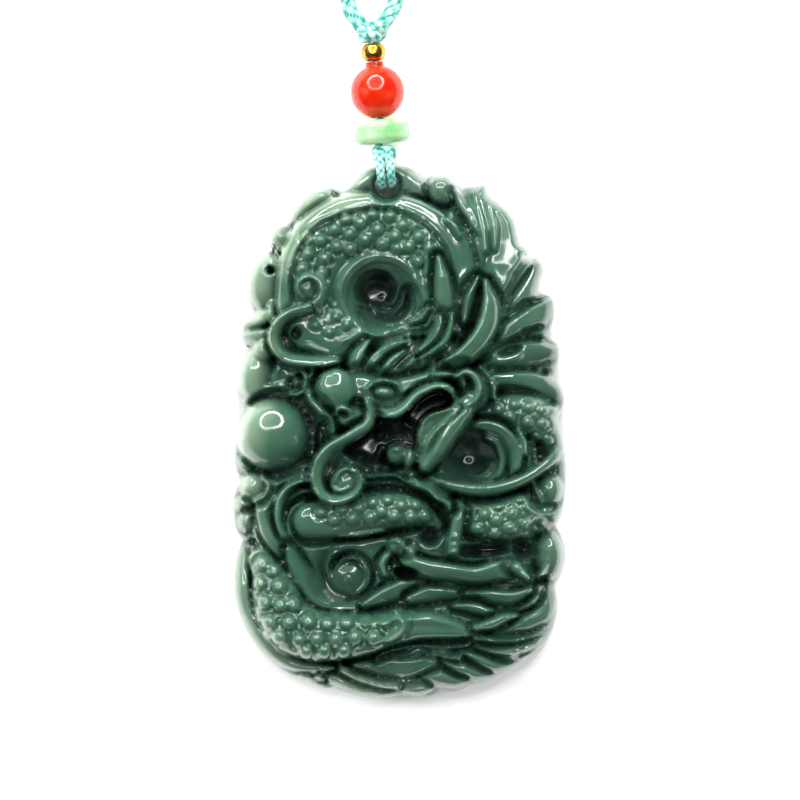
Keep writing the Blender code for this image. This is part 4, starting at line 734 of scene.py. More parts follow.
    def head(self) -> None:
        """Lay the head in profile: cheek, open mouth, snout, eye and lower jaw."""
        r = self.relief
        r.boss((7.4, 4.8), (2.9, 2.6), 10.2, 7.0)
        r.ridge([(8.9, 7.4), (9.8, 6.3), (10.4, 5.1), (10.4, 3.9)], (0.3, 0.42, 0.42, 0.3), 9.4, 8.0,
                over=True)
        r.ridge([(-7.4, 4.8), (-4.2, 4.7), (-1.4, 4.4), (1.4, 5.4), (4.4, 6.2), (6.6, 5.7)],
                (2.3, 2.3, 2.1, 1.3, 0.9, 1.1), (9.6, 9.8, 9.8, 10.0, 10.2, 10.4), 7.2, form=2.6)
        r.bowl((-1.9, -0.9), (4.4, 2.7), 2.2, 2.4, turn=-8, wall=4.0)
        r.bowl((3.2, 3.0), (2.9, 1.5), 2.2, 1.6, turn=36, wall=4.0)
        r.ridge([(-3.4, -3.7), (-2.4, -3.5), (-1.3, -3.8)], 0.4, 6.4, 4.6)
        r.ridge([(-2.7, -3.2), (-2.2, -2.4), (-1.9, -1.7)], 0.35, 5.6, 3.8)
        r.ridge([(-3.4, -4.8), (-1.6, -4.6), (-0.2, -4.7), (0.5, -5.2)], 0.35, 8.0, 6.2)
        r.boss((-2.2, -0.1), (0.55, 0.45), 4.8, 3.4, over=True)
        r.boss((-4.3, -2.6), (0.5, 0.4), 5.0, 3.8, over=True)
        r.ridge([(-2.6, 2.3), (-0.6, 2.3), (0.6, 3.0), (1.5, 4.0), (2.7, 4.8), (4.2, 5.3), (5.5, 5.0),
                 (6.1, 4.0), (6.5, 2.8)], (0.65, 0.75, 0.72, 0.65, 0.6, 0.55, 0.55, 0.5, 0.35),
                (10.4, 10.9, 11.1, 11.1, 11.1, 11.0, 11.0, 10.9, 10.6), 8.4, lean=-0.2)
        r.swell([(-2.2, 3.2), (-0.8, 3.3), (0.1, 3.9), (0.7, 4.8), (2.2, 5.3), (3.6, 5.9), (4.8, 6.0)], 0.16,
                0.45)
        r.boss((-5.2, 1.9), (2.3, 1.5), 9.7, 7.2, turn=-14)
        r.boss((-7.1, 5.0), (2.3, 2.3), 11.3, 9.2, over=True)
        r.groove([(-7.6, 7.5), (-9.0, 6.8), (-9.7, 5.4), (-9.4, 3.9), (-8.2, 2.8)], 0.2, 0.5)
        r.ridge([(-9.5, 6.9), (-10.1, 5.5), (-9.8, 3.9), (-8.8, 2.7), (-7.7, 1.5), (-7.4, 0.1)],
                (0.25, 0.36, 0.45, 0.6, 0.6, 0.4), (8.8, 9.2, 9.4, 9.6, 9.6, 9.2), 7.4)
        r.boss((-11.3, 5.7), (0.75, 0.8), 7.4, 6.2)
        r.ridge([(-11.9, 6.4), (-11.1, 7.0), (-10.4, 6.6), (-10.3, 5.6), (-10.6, 4.7), (-11.4, 4.3),
                 (-12.2, 4.3)], (0.25, 0.38, 0.42, 0.42, 0.4, 0.38, 0.2), (8.0, 8.6, 9.0, 9.0, 8.6, 8.0, 7.2),
                6.6, over=True)
        r.ridge([(-7.0, 2.1), (-6.6, 2.8), (-5.9, 2.8), (-5.2, 2.3)], (0.2, 0.34, 0.34, 0.2), 10.5, 9.4,
                over=True)
        r.bowl((-6.2, 2.1), (0.5, 0.3), 8.4, 0.4, turn=-14)
        r.ridge([(-8.7, 0.4), (-8.7, -0.8), (-8.9, -1.8)], (0.2, 0.4, 0.2), 6.4, 4.8)
        r.boss((-1.7, 4.5), (1.75, 1.2), 9.4, 9.0, turn=-4, bank=4.0)
        r.boss((-1.7, 4.6), (1.3, 0.75), 10.6, 9.2, turn=-4, over=True)
        r.ridge([(-3.5, 4.9), (-2.8, 5.6), (-1.6, 5.85), (-0.2, 5.4), (0.2, 4.6)], (0.2, 0.3, 0.3, 0.3, 0.2),
                10.6, 9.6, over=True)
        r.ridge([(-3.6, 5.0), (-3.4, 4.3), (-2.9, 3.6)], 0.28, 10.6, 9.4, over=True)
        r.ridge([(8.2, 4.2), (7.2, 2.9), (6.0, 1.3), (4.9, -0.3), (4.0, -1.9), (2.9, -3.5)],
                (0.9, 1.5, 1.65, 1.55, 1.35, 1.0), (10.2, 10.8, 11.0, 11.0, 10.9, 10.2),
                (8.4, 7.2, 6.4, 6.0, 6.0), form=2.2)
        r.ridge([(6.3, 6.3), (7.3, 6.8), (8.4, 6.1), (8.7, 4.8), (8.2, 3.6), (7.3, 3.0)],
                (0.3, 0.5, 0.5, 0.5, 0.45, 0.25), 11.0, 9.6, over=True)
        r.swell([(7.2, 5.2), (7.7, 4.2)], 0.25, 0.5)
        r.ridge([(6.6, 2.9), (5.0, 2.1), (3.4, 1.3), (2.7, 0.3), (2.3, -1.3), (2.0, -2.8)],
                (0.3, 0.7, 0.9, 0.8, 0.5, 0.3), (10.6, 10.3, 10.1, 10.1, 10.0, 9.8), 9.0, form=5.0, bank=6.0)
        r.ridge([(6.6, 2.7), (5.2, 1.4), (4.0, 0.3), (3.1, -1.1), (2.6, -2.4), (1.9, -3.2)],
                (0.18, 0.28, 0.3, 0.3, 0.28, 0.18), (10.9, 11.3, 11.4, 11.4, 11.2, 10.6), 9.8, over=True)
        r.boss((-0.2, -2.3), (1.4, 1.35), 9.4, 5.6)
        r.boss((1.1, -2.7), (0.8, 1.3), 9.6, 7.0, turn=-6, over=True)
        r.boss((-0.3, -1.8), (0.45, 0.4), 9.9, 9.2, over=True)

    def whiskers(self) -> None:
        """Lay the two curled whiskers over everything else."""
        r = self.relief
        r.bowl((-11.5, 11.0), (1.2, 1.5), 6.6, 5.8, turn=-30, wall=1.4)
        r.boss((-10.2, 16.0), (1.3, 1.4), 9.6, 8.6, over=True)
        r.ridge([(-6.9, 8.0), (-8.8, 7.95), (-10.8, 8.1), (-12.4, 8.5), (-13.5, 9.6), (-13.8, 11.0),
                 (-13.2, 12.3), (-11.8, 13.3), (-10.2, 13.8), (-8.9, 14.6), (-8.4, 15.8), (-8.8, 16.9),
                 (-9.8, 17.4), (-10.9, 17.0), (-11.3, 16.1), (-11.0, 15.3)],
                (0.4, 0.75, 0.85, 0.9, 0.9, 0.9, 0.85, 0.75, 0.7, 0.65, 0.6, 0.55, 0.5, 0.42, 0.34, 0.24),
                (9.4, 9.8, 9.8, 9.6, 9.6, 9.8, 10.0, 10.2, 10.4, 10.4, 10.4, 10.4, 10.3, 10.2, 10.0, 9.8),
                (8.8, 8.2, 7.4, 6.8, 6.4, 6.4, 6.6, 7.0, 7.8, 8.4, 8.6, 8.8, 9.0, 9.0, 9.0, 9.0), lean=0.5)
        r.boss((-5.8, -5.4), (2.0, 1.9), 10.2, 9.0, over=True)
        r.ridge([(-3.6, 3.7), (-3.1, 2.3), (-3.5, 1.0), (-4.7, 0.1), (-6.2, -0.8), (-7.8, -1.9), (-8.8, -3.3),
                 (-9.1, -5.0), (-8.6, -6.5), (-7.3, -7.3), (-5.8, -7.1), (-4.6, -6.3), (-4.2, -5.2),
                 (-4.6, -4.3), (-5.6, -3.9), (-6.6, -4.4), (-7.0, -5.3)],
                (0.35, 0.6, 0.75, 0.8, 0.8, 0.85, 0.9, 0.9, 0.85, 0.75, 0.65, 0.55, 0.48, 0.42, 0.38, 0.32,
                 0.2), (10.8, 11.0, 11.2, 11.2, 11.2, 11.0, 11.0, 11.0, 11.0, 11.0, 10.9, 10.9, 10.8, 10.7,
                 10.6, 10.5, 10.3),
                (9.8, 8.6, 7.8, 7.2, 7.0, 7.0, 7.2, 7.6, 8.0, 8.6, 9.0, 9.2, 9.4, 9.4, 9.4, 9.6, 9.6),
                lean=-0.5)
        r.swell([(-7.9, -3.9), (-8.0, -5.0), (-7.4, -6.1), (-6.4, -6.4), (-5.4, -6.0)], 0.15,
                (0.2, 0.4, 0.4, 0.3))

    def carve(self) -> None:
        """Lay every stroke and polish the result."""
        for stroke in (
            self.rim_clouds, self.bottom_petals, self.mane, self.side_ring, self.lower_coils, self.tail,
            self.foot, self.upper_ring, self.brow, self.pearl, self.head, self.whiskers,
        ):
            stroke()
        r = self.relief
        r.bowl(self.hole, (1.25 * self.hole_radius, 1.15 * self.hole_radius), 4.0, 0.5, wall=5.0)
        r.h = r.softened(self.polish)
        r.h = np.minimum(r.h + self.crisp * (r.h - r.softened(self.crisp_width)), self.tallest)
        r.h = self.bed + self.bed_ease * np.logaddexp(0.0, (r.h - self.bed) / self.bed_ease)


class Slot(Enum):
    """The record's material slots."""

    JADE = "jade"
    CORD = "teal_cord"
    PALE_STONE = "pale_green_stone"
    RED_STONE = "red_stone"
    GOLD = "gold_metal"


def clean_selection() -> None:
    """Deselect everything, because an operator acts on all that is selected."""
    if bpy.context.object and bpy.context.object.mode != "OBJECT":
        bpy.ops.object.mode_set(mode="OBJECT")
    bpy.ops.object.select_all(action="DESELECT")


def take_new(name: str) -> Thing:
    """Name the primitive that was just added and put its place into its mesh."""
    thing = bpy.context.object
    thing.name = thing.data.name = name
    bpy.ops.object.transform_apply(location=True, rotation=True, scale=True)
    return thing


def add_mesh(name: str, points: np.ndarray, faces: list[tuple[int, ...]]) -> Thing:
    """Make a mesh object at the origin.

    Args:
        name: Its name.
        points: Its points in mm, one a row.
        faces: The points of each face.

    Returns:
        The new object.
    """
    mesh = bpy.data.meshes.new(name)
    mesh.from_pydata((np.asarray(points) * MM).tolist(), [], faces)
    mesh.update()
    thing = bpy.data.objects.new(name, mesh)
    bpy.context.collection.objects.link(thing)
    return thing


def apply_modifier(thing: Thing, kind: str, **settings: object) -> None:
    """Add a modifier, apply it and leave nothing selected.

    Args:
        thing: The object.
        kind: The modifier's type.
        **settings: Its settings.
    """
    clean_selection()
    thing.select_set(True)
    bpy.context.view_layer.objects.active = thing
    step = thing.modifiers.new(kind.lower(), kind)
    for key, value in settings.items():
        setattr(step, key, value)
    bpy.ops.object.modifier_apply(modifier=step.name)
    thing.select_set(False)


def smooth(thing: Thing, degrees: float = 180.0) -> None:
    """Shade an object smooth, with edges sharper than the angle kept."""
    clean_selection()
    thing.select_set(True)
    bpy.context.view_layer.objects.active = thing
    bpy.ops.object.shade_smooth_by_angle(angle=math.radians(degrees))
    thing.select_set(False)


def add_cylinder(
    thing: Thing, operation: str, middle: Triple, radius: float, length: float, turn: Triple, sides: int,
) -> None:
    """Cut a cylinder out of a piece, or join it on.

    Args:
        thing: The piece.
        operation: DIFFERENCE or UNION.
        middle: The cylinder's middle in mm.
        radius: Its radius in mm.
        length: Its length in mm.
        turn: How it is turned, in radians.
        sides: How many sides it has.
    """
    clean_selection()
    bpy.ops.mesh.primitive_cylinder_add(
        vertices=sides, radius=radius * MM, depth=length * MM, location=[v * MM for v in middle],
        rotation=turn,
    )
    tool = take_new("tool")
    apply_modifier(thing, "BOOLEAN", operation=operation, solver="EXACT", object=tool)
    bpy.data.objects.remove(tool, do_unlink=True)


def hand_over(thing: Thing, finish: Material, slot: Slot, *nodes: str) -> None:
    """Give a finished piece its material, hang it under the root and hide the CAD nodes that it stands for.

    Args:
        thing: The piece.
        finish: Its material.
        slot: The record's material slot. Not used.
        *nodes: The CAD nodes that it stands for.
    """
    thing.data.materials.clear()
    thing.data.materials.append(finish)
    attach(thing, "root")
    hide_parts(*nodes)


def set_values(thing: Thing, name: str, values: np.ndarray) -> None:
    """Store one number for each point of a mesh, for its material to read."""
    layer = thing.data.attributes.new(name, "FLOAT", "POINT")
    layer.data.foreach_set("value", np.asarray(values, np.float32).ravel())


def linear(code: str) -> tuple[float, float, float, float]:
    """Return an sRGB hex colour as the linear colour that a shader takes."""
    parts = [int(code[i : i + 2], 16) / 255 for i in (1, 3, 5)]
    return (*(p / 12.92 if p <= 0.04045 else ((p + 0.055) / 1.055) ** 2.4 for p in parts), 1.0)


def add_node(
    tree: Tree, kind: str, inputs: dict[str | int, object], **settings: object
) -> bpy.types.Node:
    """Add a shader node with its settings and links.

    Args:
        tree: The material's tree.
        kind: The node's type, without the word ShaderNode.
        inputs: For each input's name or number, the socket that feeds it or its value.
        **settings: The node's own settings.

    Returns:
        The node.
    """
    node = tree.nodes.new("ShaderNode" + kind)
    for key, value in settings.items():
        setattr(node, key, value)
    for key, value in inputs.items():
        if isinstance(value, Socket):
            tree.links.new(value, node.inputs[key])
        else:
            node.inputs[key].default_value = value
    return node


def add_ramp(tree: Tree, factor: Socket, stops: dict[float, str]) -> Socket:
    """Turn a number into a colour.

    Args:
        tree: The material's tree.
        factor: The number.
        stops: The sRGB hex colour at each place from 0 to 1.

    Returns:
        The colour's socket.
    """
    node = add_node(tree, "ValToRGB", {"Fac": factor})
    marks = node.color_ramp.elements
    while len(marks) < len(stops):
        marks.new(1.0)
    for mark, (place, code) in zip(marks, sorted(stops.items())):
        mark.position = place
        mark.color = linear(code)
    return node.outputs["Color"]


def start_material(name: str) -> tuple[Material, Tree, Socket]:
    """Make an empty material.

    Args:
        name: Its name.

    Returns:
        The material, its tree, and a socket with the object's own coordinates in mm.
    """
    material = bpy.data.materials.new(name)
    material.use_nodes = True
    tree = material.node_tree
    tree.nodes.clear()
    place = add_node(tree, "TexCoord", {}).outputs["Object"]
    millimetres = add_node(tree, "VectorMath", {0: place, "Scale": 1 / MM}, operation="SCALE")
    return material, tree, millimetres.outputs["Vector"]


def end_material(tree: Tree, **inputs: object) -> None:
    """Close a material with one Principled shader. An underscore in an input's name stands for a space."""
    named = {key.replace("_", " "): value for key, value in inputs.items()}
    shader = add_node(tree, "BsdfPrincipled", named)
    add_node(tree, "OutputMaterial", {"Surface": shader.outputs["BSDF"]})


def clouded(tree: Tree, place: Socket, grain: float, detail: float = 4.0) -> Socket:
    """Return soft noise whose lumps are this many mm across."""
    return add_node(tree, "TexNoise", {"Vector": place, "Scale": 1 / grain, "Detail": detail}).outputs["Fac"]


def stored(tree: Tree, name: str) -> Socket:
    """Return a number that is stored at each point of the mesh."""
    return add_node(tree, "Attribute", {}, attribute_name=name).outputs["Fac"]


def calculate(tree: Tree, operation: str, *values: object) -> Socket:
    """Return what a Math node makes of these values."""
    return add_node(tree, "Math", dict(enumerate(values)), operation=operation).outputs["Value"]


def remap(tree: Tree, value: Socket, old: Point, new: Point = (0.0, 1.0), **settings: object) -> Socket:
    """Return a number moved from its old range to a new one."""
    ends = {"From Min": old[0], "From Max": old[1], "To Min": new[0], "To Max": new[1]}
    return add_node(tree, "MapRange", {"Value": value, **ends}, **settings).outputs["Result"]


def bumped(tree: Tree, height: Socket, strength: object, distance: float) -> Socket:
    """Return the normal of a surface with fine bumps, this many mm high."""
    inputs = {"Height": height, "Strength": strength, "Distance": distance * MM}
    return add_node(tree, "Bump", inputs).outputs["Normal"]


@dataclass(frozen=True)
class CarvedJade:
    """Nephrite jade, carved with abrasive burrs and polished wet.

    Attributes:
        deep: Painted shade in the pits and trenches, the darkest end of the painted shading.
        shade: Painted shade on the lower ground.
        body: Colour of the middle ground, between the painted shade and the painted highlight.
        crest: Colour of the raised forms, painted lighter as a painted highlight.
        thin: Painted light on the rim, a pale colour that stands in for light through the thin edge and its
            sheen.
        cloud: Size in mm of the cloudy patches inside the stone.
        grit: Size in mm of the marks that the burr left in the hollows.
        gloss: Roughness of the polished crests.
    """

    deep: str = "#172820"
    shade: str = "#28463A"
    body: str = "#335848"
    crest: str = "#486E59"
    thin: str = "#8CA68C"
    cloud: float = 7.0
    grit: float = 0.35
    gloss: float = 0.15

    def make(self) -> Material:
        """Build the material. Light scatters inside the stone, so its edges look soft. Its colour holds
        painted shade in the hollows, a painted highlight on the raised forms and painted light on the rim.
        """
        material, tree, place = start_material("nephrite_jade_carved_and_polished")
        # The relief attribute is painted shading: pits and hollows are painted dark, raised forms painted
        # light.
        relief = stored(tree, "relief")
        # The clouds shift the tone by about a tenth, as the stone's own veins do.
        tone = remap(tree, clouded(tree, place, self.cloud), (0.3, 0.7), (-0.08, 0.08))
        lit = calculate(tree, "ADD", relief, tone)
        # Painted shade and painted highlight: the ramp turns low ground dark and crests light.
        stone = add_ramp(tree, lit, {0.08: self.deep, 0.3: self.shade, 0.5: self.body, 0.8: self.crest})
        # Painted light: the rim is painted paler, most on the left, where the light comes from.
        painted_rim_light_share = calculate(tree, "MULTIPLY", stored(tree, "thin"), remap(tree, lit, (0.25, 0.6)))
        colour = add_node(tree, "Mix", {0: painted_rim_light_share, 6: stone, 7: linear(self.thin)}, data_type="RGBA")
        # The polish doesn't reach the low ground, which keeps the burr's marks.
        ground = remap(tree, relief, (0.5, 0.2))
        rough = remap(tree, ground, (0.0, 1.0), (self.gloss, 0.24))
        depth = remap(tree, ground, (0.0, 1.0), (0.02, 0.12))
        end_material(
            tree, Base_Color=colour.outputs[2], Roughness=rough, IOR=1.61,
            Normal=bumped(tree, clouded(tree, place, self.grit, 3.0), depth, 0.3),
            Subsurface_Weight=0.35, Subsurface_Radius=(0.5, 1.0, 0.7), Subsurface_Scale=0.4 * MM,
            Coat_Weight=0.5, Coat_Roughness=0.06, Coat_IOR=1.5,
        )
        return material


@dataclass(frozen=True)
class PolishedStone:
    """A small bead ground from translucent stone and polished.

    Attributes:
        name: The stone's common name.
        light: Colour where it is clear.
        dark: Colour of its clouds.
        grain: Size in mm of its clouds.
        clear: Share of the light that passes through.
        reach: How far light scatters inside, in mm.
    """

    name: str
    light: str
    dark: str
    grain: float
    clear: float
    reach: Triple

    def make(self) -> Material:
        """Build the material: a glossy skin over stone that lets light through."""
        material, tree, place = start_material(self.name)
        clouds = clouded(tree, place, self.grain)
        colour = add_ramp(tree, clouds, {0.35: self.dark, 0.62: self.light})
        scratches = bumped(tree, clouded(tree, place, 0.25, 2.0), 0.03, 0.1)
        end_material(
            tree, Base_Color=colour, Roughness=0.12, IOR=1.54, Transmission_Weight=self.clear,
            Normal=scratches, Subsurface_Weight=0.8, Subsurface_Radius=self.reach, Subsurface_Scale=MM,
            Specular_IOR_Level=0.3, Coat_Weight=0.3, Coat_Roughness=0.03,
        )
        return material


@dataclass(frozen=True)
class SpunBrass:
    """Gilt brass, spun to shape.

    Attributes:
        gilt: Its colour.
        stain: Its colour where it is tarnished.
        line: Spacing in mm of the lathe's lines, coarser than the real ones so that they show.
    """

    gilt: str = "#F0C45A"
    stain: str = "#9A6B22"
    line: float = 0.22

    def make(self) -> Material:
        """Build the material. Fine turned lines stretch its highlights."""
        material, tree, place = start_material("gilt_brass_spun")
        wave = {"Vector": place, "Scale": 0.5 / self.line, "Distortion": 0.4}
        lines = add_node(tree, "TexWave", wave, bands_direction="Y").outputs["Fac"]
        stain = add_ramp(tree, clouded(tree, place, 0.8), {0.3: self.stain, 0.6: self.gilt})
        turned = bumped(tree, lines, 0.15, 0.05)
        end_material(tree, Base_Color=stain, Metallic=1.0, Roughness=0.24, Normal=turned)
        return material


@dataclass(frozen=True)
class BraidedSilk:
    """Satin cord, plaited from twisted silk yarn.

    Attributes:
        pale: Painted highlight on the tops of the raised strands, where the dye is also lighter.
        light: Colour of the raised strands, painted lighter as a painted highlight.
        middle: Colour of their sides.
        dark: Painted shade in the gaps between them.
        yarn: Width in mm of one yarn, about twice the real one so that it shows.
    """

    pale: str = "#C9EFE8"
    light: str = "#86D2C4"
    middle: str = "#35A092"
    dark: str = "#0F6B5C"
    yarn: float = 0.12

    def make(self) -> Material:
        """Build the material. The attribute strand is the height of the plait, and yarn runs over it."""
        material, tree, place = start_material("silk_cord_braided")
        fibre = clouded(tree, place, self.yarn, 2.0)
        # The dye took unevenly, which leaves pale and dark patches about a millimetre long.
        dye = remap(tree, clouded(tree, place, 1.1), (0.3, 0.7), (-0.35, 0.1))
        toned = calculate(
            tree, "ADD", calculate(tree, "MULTIPLY_ADD", fibre, 0.35, stored(tree, "strand")), dye,
        )
        # Painted shade and painted highlight: low in the plait is painted dark, the strands' tops pale.
        stops = {0.25: self.dark, 0.55: self.middle, 0.8: self.light, 1.0: self.pale}
        end_material(
            tree, Base_Color=add_ramp(tree, toned, stops), Roughness=0.42, Sheen_Weight=0.4,
            Sheen_Roughness=0.4, Normal=bumped(tree, fibre, 0.5, 0.06),
        )
        return material


@dataclass
class Plaque:
    """The carved jade.

    Attributes:
        across: Faces across the front.
        along: Faces along the front.
        back_edge: Height in mm where the side meets the rounded back.
        hole: Diameter in mm of the cord hole.
        channel_depth: Radius in mm of the cord's channel behind the hole.
        channel_length: Its length in mm.
        thickness: Thickness in mm at the tallest form.
        tone: The painted shading, from 0 to 1, that level ground at the height tone_height gets in the relief
            attribute.
        tone_height: That height in mm.
        relief: The height field of the front.
    """

    across: int = 224
    along: int = 358
    back_edge: float = 1.5
    hole: float = 2.6
    channel_depth: float = 1.9
    channel_length: float = 5.0
    thickness: float = 11.2
    tone: float = 0.54
    tone_height: float = 8.0
    relief: Relief = field(default_factory=Relief)

    def __post_init__(self) -> None:
        """Find how the drawing is placed in the model: centred and stretched to the CAD node's own box."""
        low, high = (np.array(corner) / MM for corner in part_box("jade_pendant"))
        self.centre = (self.relief.loop.min(0) + self.relief.loop.max(0)) / 2
        self.stretch = (high - low)[:2] / np.ptp(self.relief.loop, axis=0)

    def place(self, point: Point) -> Point:
        """Return a drawn point in the model, in mm."""
        x, y = (np.array(point) - self.centre) * self.stretch
        return float(x), float(y)

    def reach(self, angles: np.ndarray) -> np.ndarray:
        """Return the distance from the centre to the outline in each direction."""
        own = np.arctan2(self.relief.loop[:, 1], self.relief.loop[:, 0])
        order = np.argsort(own)
        size = np.hypot(self.relief.loop[:, 0], self.relief.loop[:, 1])[order]
        return np.interp(angles, own[order], size, period=2 * math.pi)

    def front_grid(self) -> tuple[np.ndarray, np.ndarray]:
        """Return the drawn x and y of a rectangular grid whose edge is stretched to the outline."""
        u, v = np.meshgrid(np.linspace(-1, 1, self.across + 1), np.linspace(-1, 1, self.along + 1))
        wide = np.abs(u) > np.abs(v)
        radius = np.where(wide, np.abs(u), np.abs(v))
        with np.errstate(divide="ignore", invalid="ignore"):
            turn = np.where(wide, math.pi / 4 * v / u, math.pi / 2 - math.pi / 4 * u / v)
        turn = np.nan_to_num(turn) + np.where(np.where(wide, u, v) < 0, math.pi, 0)
        size = np.ptp(self.relief.loop, axis=0)
        ex, ey = size[0] * np.cos(turn), size[1] * np.sin(turn)
        share = radius * self.reach(np.arctan2(ey, ex)) / np.hypot(ex, ey)
        return share * ex, share * ey

    def shell(self) -> Thing:
        """Build the closed skin: carved front, low side and a back that is flat but for its rounded edge."""
        x, y = self.front_grid()
        z = self.relief.front(x, y)
        z[[0, -1], :] = z[:, [0, -1]] = self.relief.edge
        rows, columns = x.shape
        points = list(np.column_stack([x.ravel(), y.ravel(), z.ravel()]))
        faces = [
            (a, a + 1, a + columns + 1, a + columns)
            for j in range(rows - 1)
            for a in range(j * columns, (j + 1) * columns - 1)
        ]
        ring = list(range(columns)) + [j * columns + columns - 1 for j in range(1, rows)]
        ring += [(rows - 1) * columns + i for i in range(columns - 2, -1, -1)]
        ring += [j * columns for j in range(rows - 2, 0, -1)]
        border = np.array([points[k] for k in ring])
        # The side and the rounded back: each ring's share of the outline and of the height back_edge.
        for share, height in ((1.0, 1.0), (0.99, 0.6), (0.965, 0.3), (0.94, 0.1), (0.91, 0.0)):
            start = len(points)
            level = np.full(len(border), self.back_edge * height)
            points.extend(np.column_stack([border[:, :2] * share, level]))
            new = list(range(start, start + len(ring)))
            faces += [(b, a, c, d) for a, b, c, d in zip(ring, ring[1:] + ring[:1], new, new[1:] + new[:1])]
            ring = new
        points.append(np.zeros(3))
        faces += [(b, a, len(points) - 1) for a, b in zip(ring, ring[1:] + ring[:1])]
        placed = np.array(points)
        placed[:, :2] = (placed[:, :2] - self.centre) * self.stretch
        return add_mesh("carved_jade", placed, faces)

    def build(self, cord: "HangingCord", finish: Material) -> Thing:
        """Carve, mesh and drill the jade, and store what its material reads.

        Args:
            cord: The cord that passes through it.
            finish: The jade's material.

        Returns:
            The carved jade.
        """
        DragonCarving(self.relief).carve()
        thing = self.shell()
        middle = cord.at(0.0, self.thickness / 2)
        upright = (0.0, 0.0, 0.0)
        add_cylinder(thing, "DIFFERENCE", middle, self.hole / 2, 2 * self.thickness, upright, 40)
        behind = cord.at(self.channel_length / 2 - 0.5, 0.0)
        along = (math.pi / 2, 0.0, cord.lean)
        add_cylinder(thing, "DIFFERENCE", behind, self.channel_depth, self.channel_length, along, 40)
        self.store_painted_shading(thing)
        smooth(thing, 60)
        hand_over(thing, finish, Slot.JADE, "jade_pendant")
        return thing

    def store_painted_shading(self, thing: Thing) -> None:
        """Store each point's painted shading and painted rim light, both from 0 to 1.

        The painted shading adds up how far a point stands out from what is within one and within three
        millimetres, and how high it lies, so hollows get painted shade and raised forms a painted highlight.
        The rim is painted paler, most on the left, the side the light comes from.
        """
        co = np.empty(3 * len(thing.data.vertices))
        thing.data.vertices.foreach_get("co", co)
        co = co.reshape(-1, 3) / MM
        x, y = (co[:, k] / self.stretch[k] + self.centre[k] for k in (0, 1))
        r = self.relief
        # Painted shading: points below their surroundings and low ground get darker, raised and high ones
        # lighter.
        fine, broad = 0.06 * (r.h - r.softened(0.9)), 0.07 * (r.h - r.softened(3.2))
        high = 0.035 * (r.h - self.tone_height)
        relief = self.tone + r.sample(fine + broad + high, x, y)
        under = co[:, 2] < self.back_edge + 0.2
        set_values(thing, "relief", np.where(under, 0.5, np.clip(relief, 0, 1)))
        # Painted rim light: paler near the outline, and most on the left, the side the light comes from.
        near_rim = np.clip((r.measured - r.sample(r.inside, x, y)) / r.climb, 0, 1)
        left = np.clip((6 - x) / 14, 0, 1)
        set_values(thing, "thin", near_rim * (0.15 + 0.75 * left))


@dataclass
class Cord:
    """A cord's own make, used for each piece that is made of it.

    Attributes:
        diameter: Its diameter in mm.
        strands: Strands in each set.
        lay: Length in mm in which a strand goes once round.
        around: Points round the cord.
        step: Spacing in mm of its rings.
        depth: How deep the grooves between strands are, as a share of its radius.
    """

    diameter: float
    strands: int = 4
    lay: float = 5.2
    around: int = 24
    step: float = 0.24
    depth: float = 0.2

    def strand_height(self, turn: np.ndarray, along: np.ndarray) -> np.ndarray:
        """Return the height from 0 to 1 of two sets of strands that pass over and under each other.

        Args:
            turn: The place round the cord, in turns.
            along: The place along it, in mm.
        """
        a = self.strands * (turn + along / self.lay)
        b = self.strands * (turn - along / self.lay)
        fa, fb = a - np.floor(a), b - np.floor(b)
        over = np.mod(np.floor(a) + np.floor(b), 2) < 0.5
        across, length = np.where(over, fa, fb), np.where(over, fb, fa)
        rounded = np.sqrt(np.clip(1 - np.abs(2 * across - 1) ** 2.4, 0, 1))
        return rounded * (0.72 + 0.28 * np.sin(math.pi * length))

    def tube(self, name: str, path: np.ndarray, closed: bool = False) -> Thing:
        """Build the cord along a path.

        Args:
            name: The piece's name.
            path: Its centreline in mm, closely spaced.
            closed: Whether the path is a ring.

        Returns:
            The cord, with the plait's height stored as the attribute strand.
        """
        path = even_steps(path, self.step)
        count = len(path)
        if closed:
            ahead, behind = np.roll(path, -1, axis=0), np.roll(path, 1, axis=0)
        else:
            ahead, behind = np.vstack([path[1:], path[-1:]]), np.vstack([path[:1], path[:-1]])
        tangent = ahead - behind
        tangent /= np.linalg.norm(tangent, axis=1)[:, None]
        normal = np.zeros((count, 3))
        first = np.array([0.0, 0.0, 1.0]) if abs(tangent[0][2]) < 0.9 else np.array([1.0, 0.0, 0.0])
        normal[0] = first - tangent[0] * (first @ tangent[0])
        normal[0] /= np.linalg.norm(normal[0])
        for i in range(1, count):
            n = normal[i - 1] - tangent[i] * (normal[i - 1] @ tangent[i])
            normal[i] = n / np.linalg.norm(n)
        side = np.cross(tangent, normal)
        turn = np.arange(self.around) / self.around
        along = self.step * np.arange(count)
        height = self.strand_height(turn[None, :], along[:, None])
        radius = self.diameter / 2 * (1 - self.depth * (1 - height))
        c, s = np.cos(2 * math.pi * turn)[None, :, None], np.sin(2 * math.pi * turn)[None, :, None]
        skin = path[:, None, :] + radius[:, :, None] * (c * normal[:, None, :] + s * side[:, None, :])
        points = list(skin.reshape(-1, 3))
        faces: list[tuple[int, ...]] = []
        sides = [(k, (k + 1) % self.around) for k in range(self.around)]
        for i in range(count if closed else count - 1):
            a, b = i * self.around, ((i + 1) % count) * self.around
            faces += [(a + k, a + m, b + m, b + k) for k, m in sides]
        heights = list(height.ravel())
        if not closed:
            for centre, start, flip in ((path[0], 0, True), (path[-1], (count - 1) * self.around, False)):
                middle = len(points)
                points.append(centre)
                heights.append(0.5)
                for k, m in sides:
                    a, b = start + k, start + m
                    faces.append((b, a, middle) if flip else (a, b, middle))
        thing = add_mesh(name, np.array(points), faces)
        set_values(thing, "strand", np.array(heights))
        smooth(thing)
        return thing


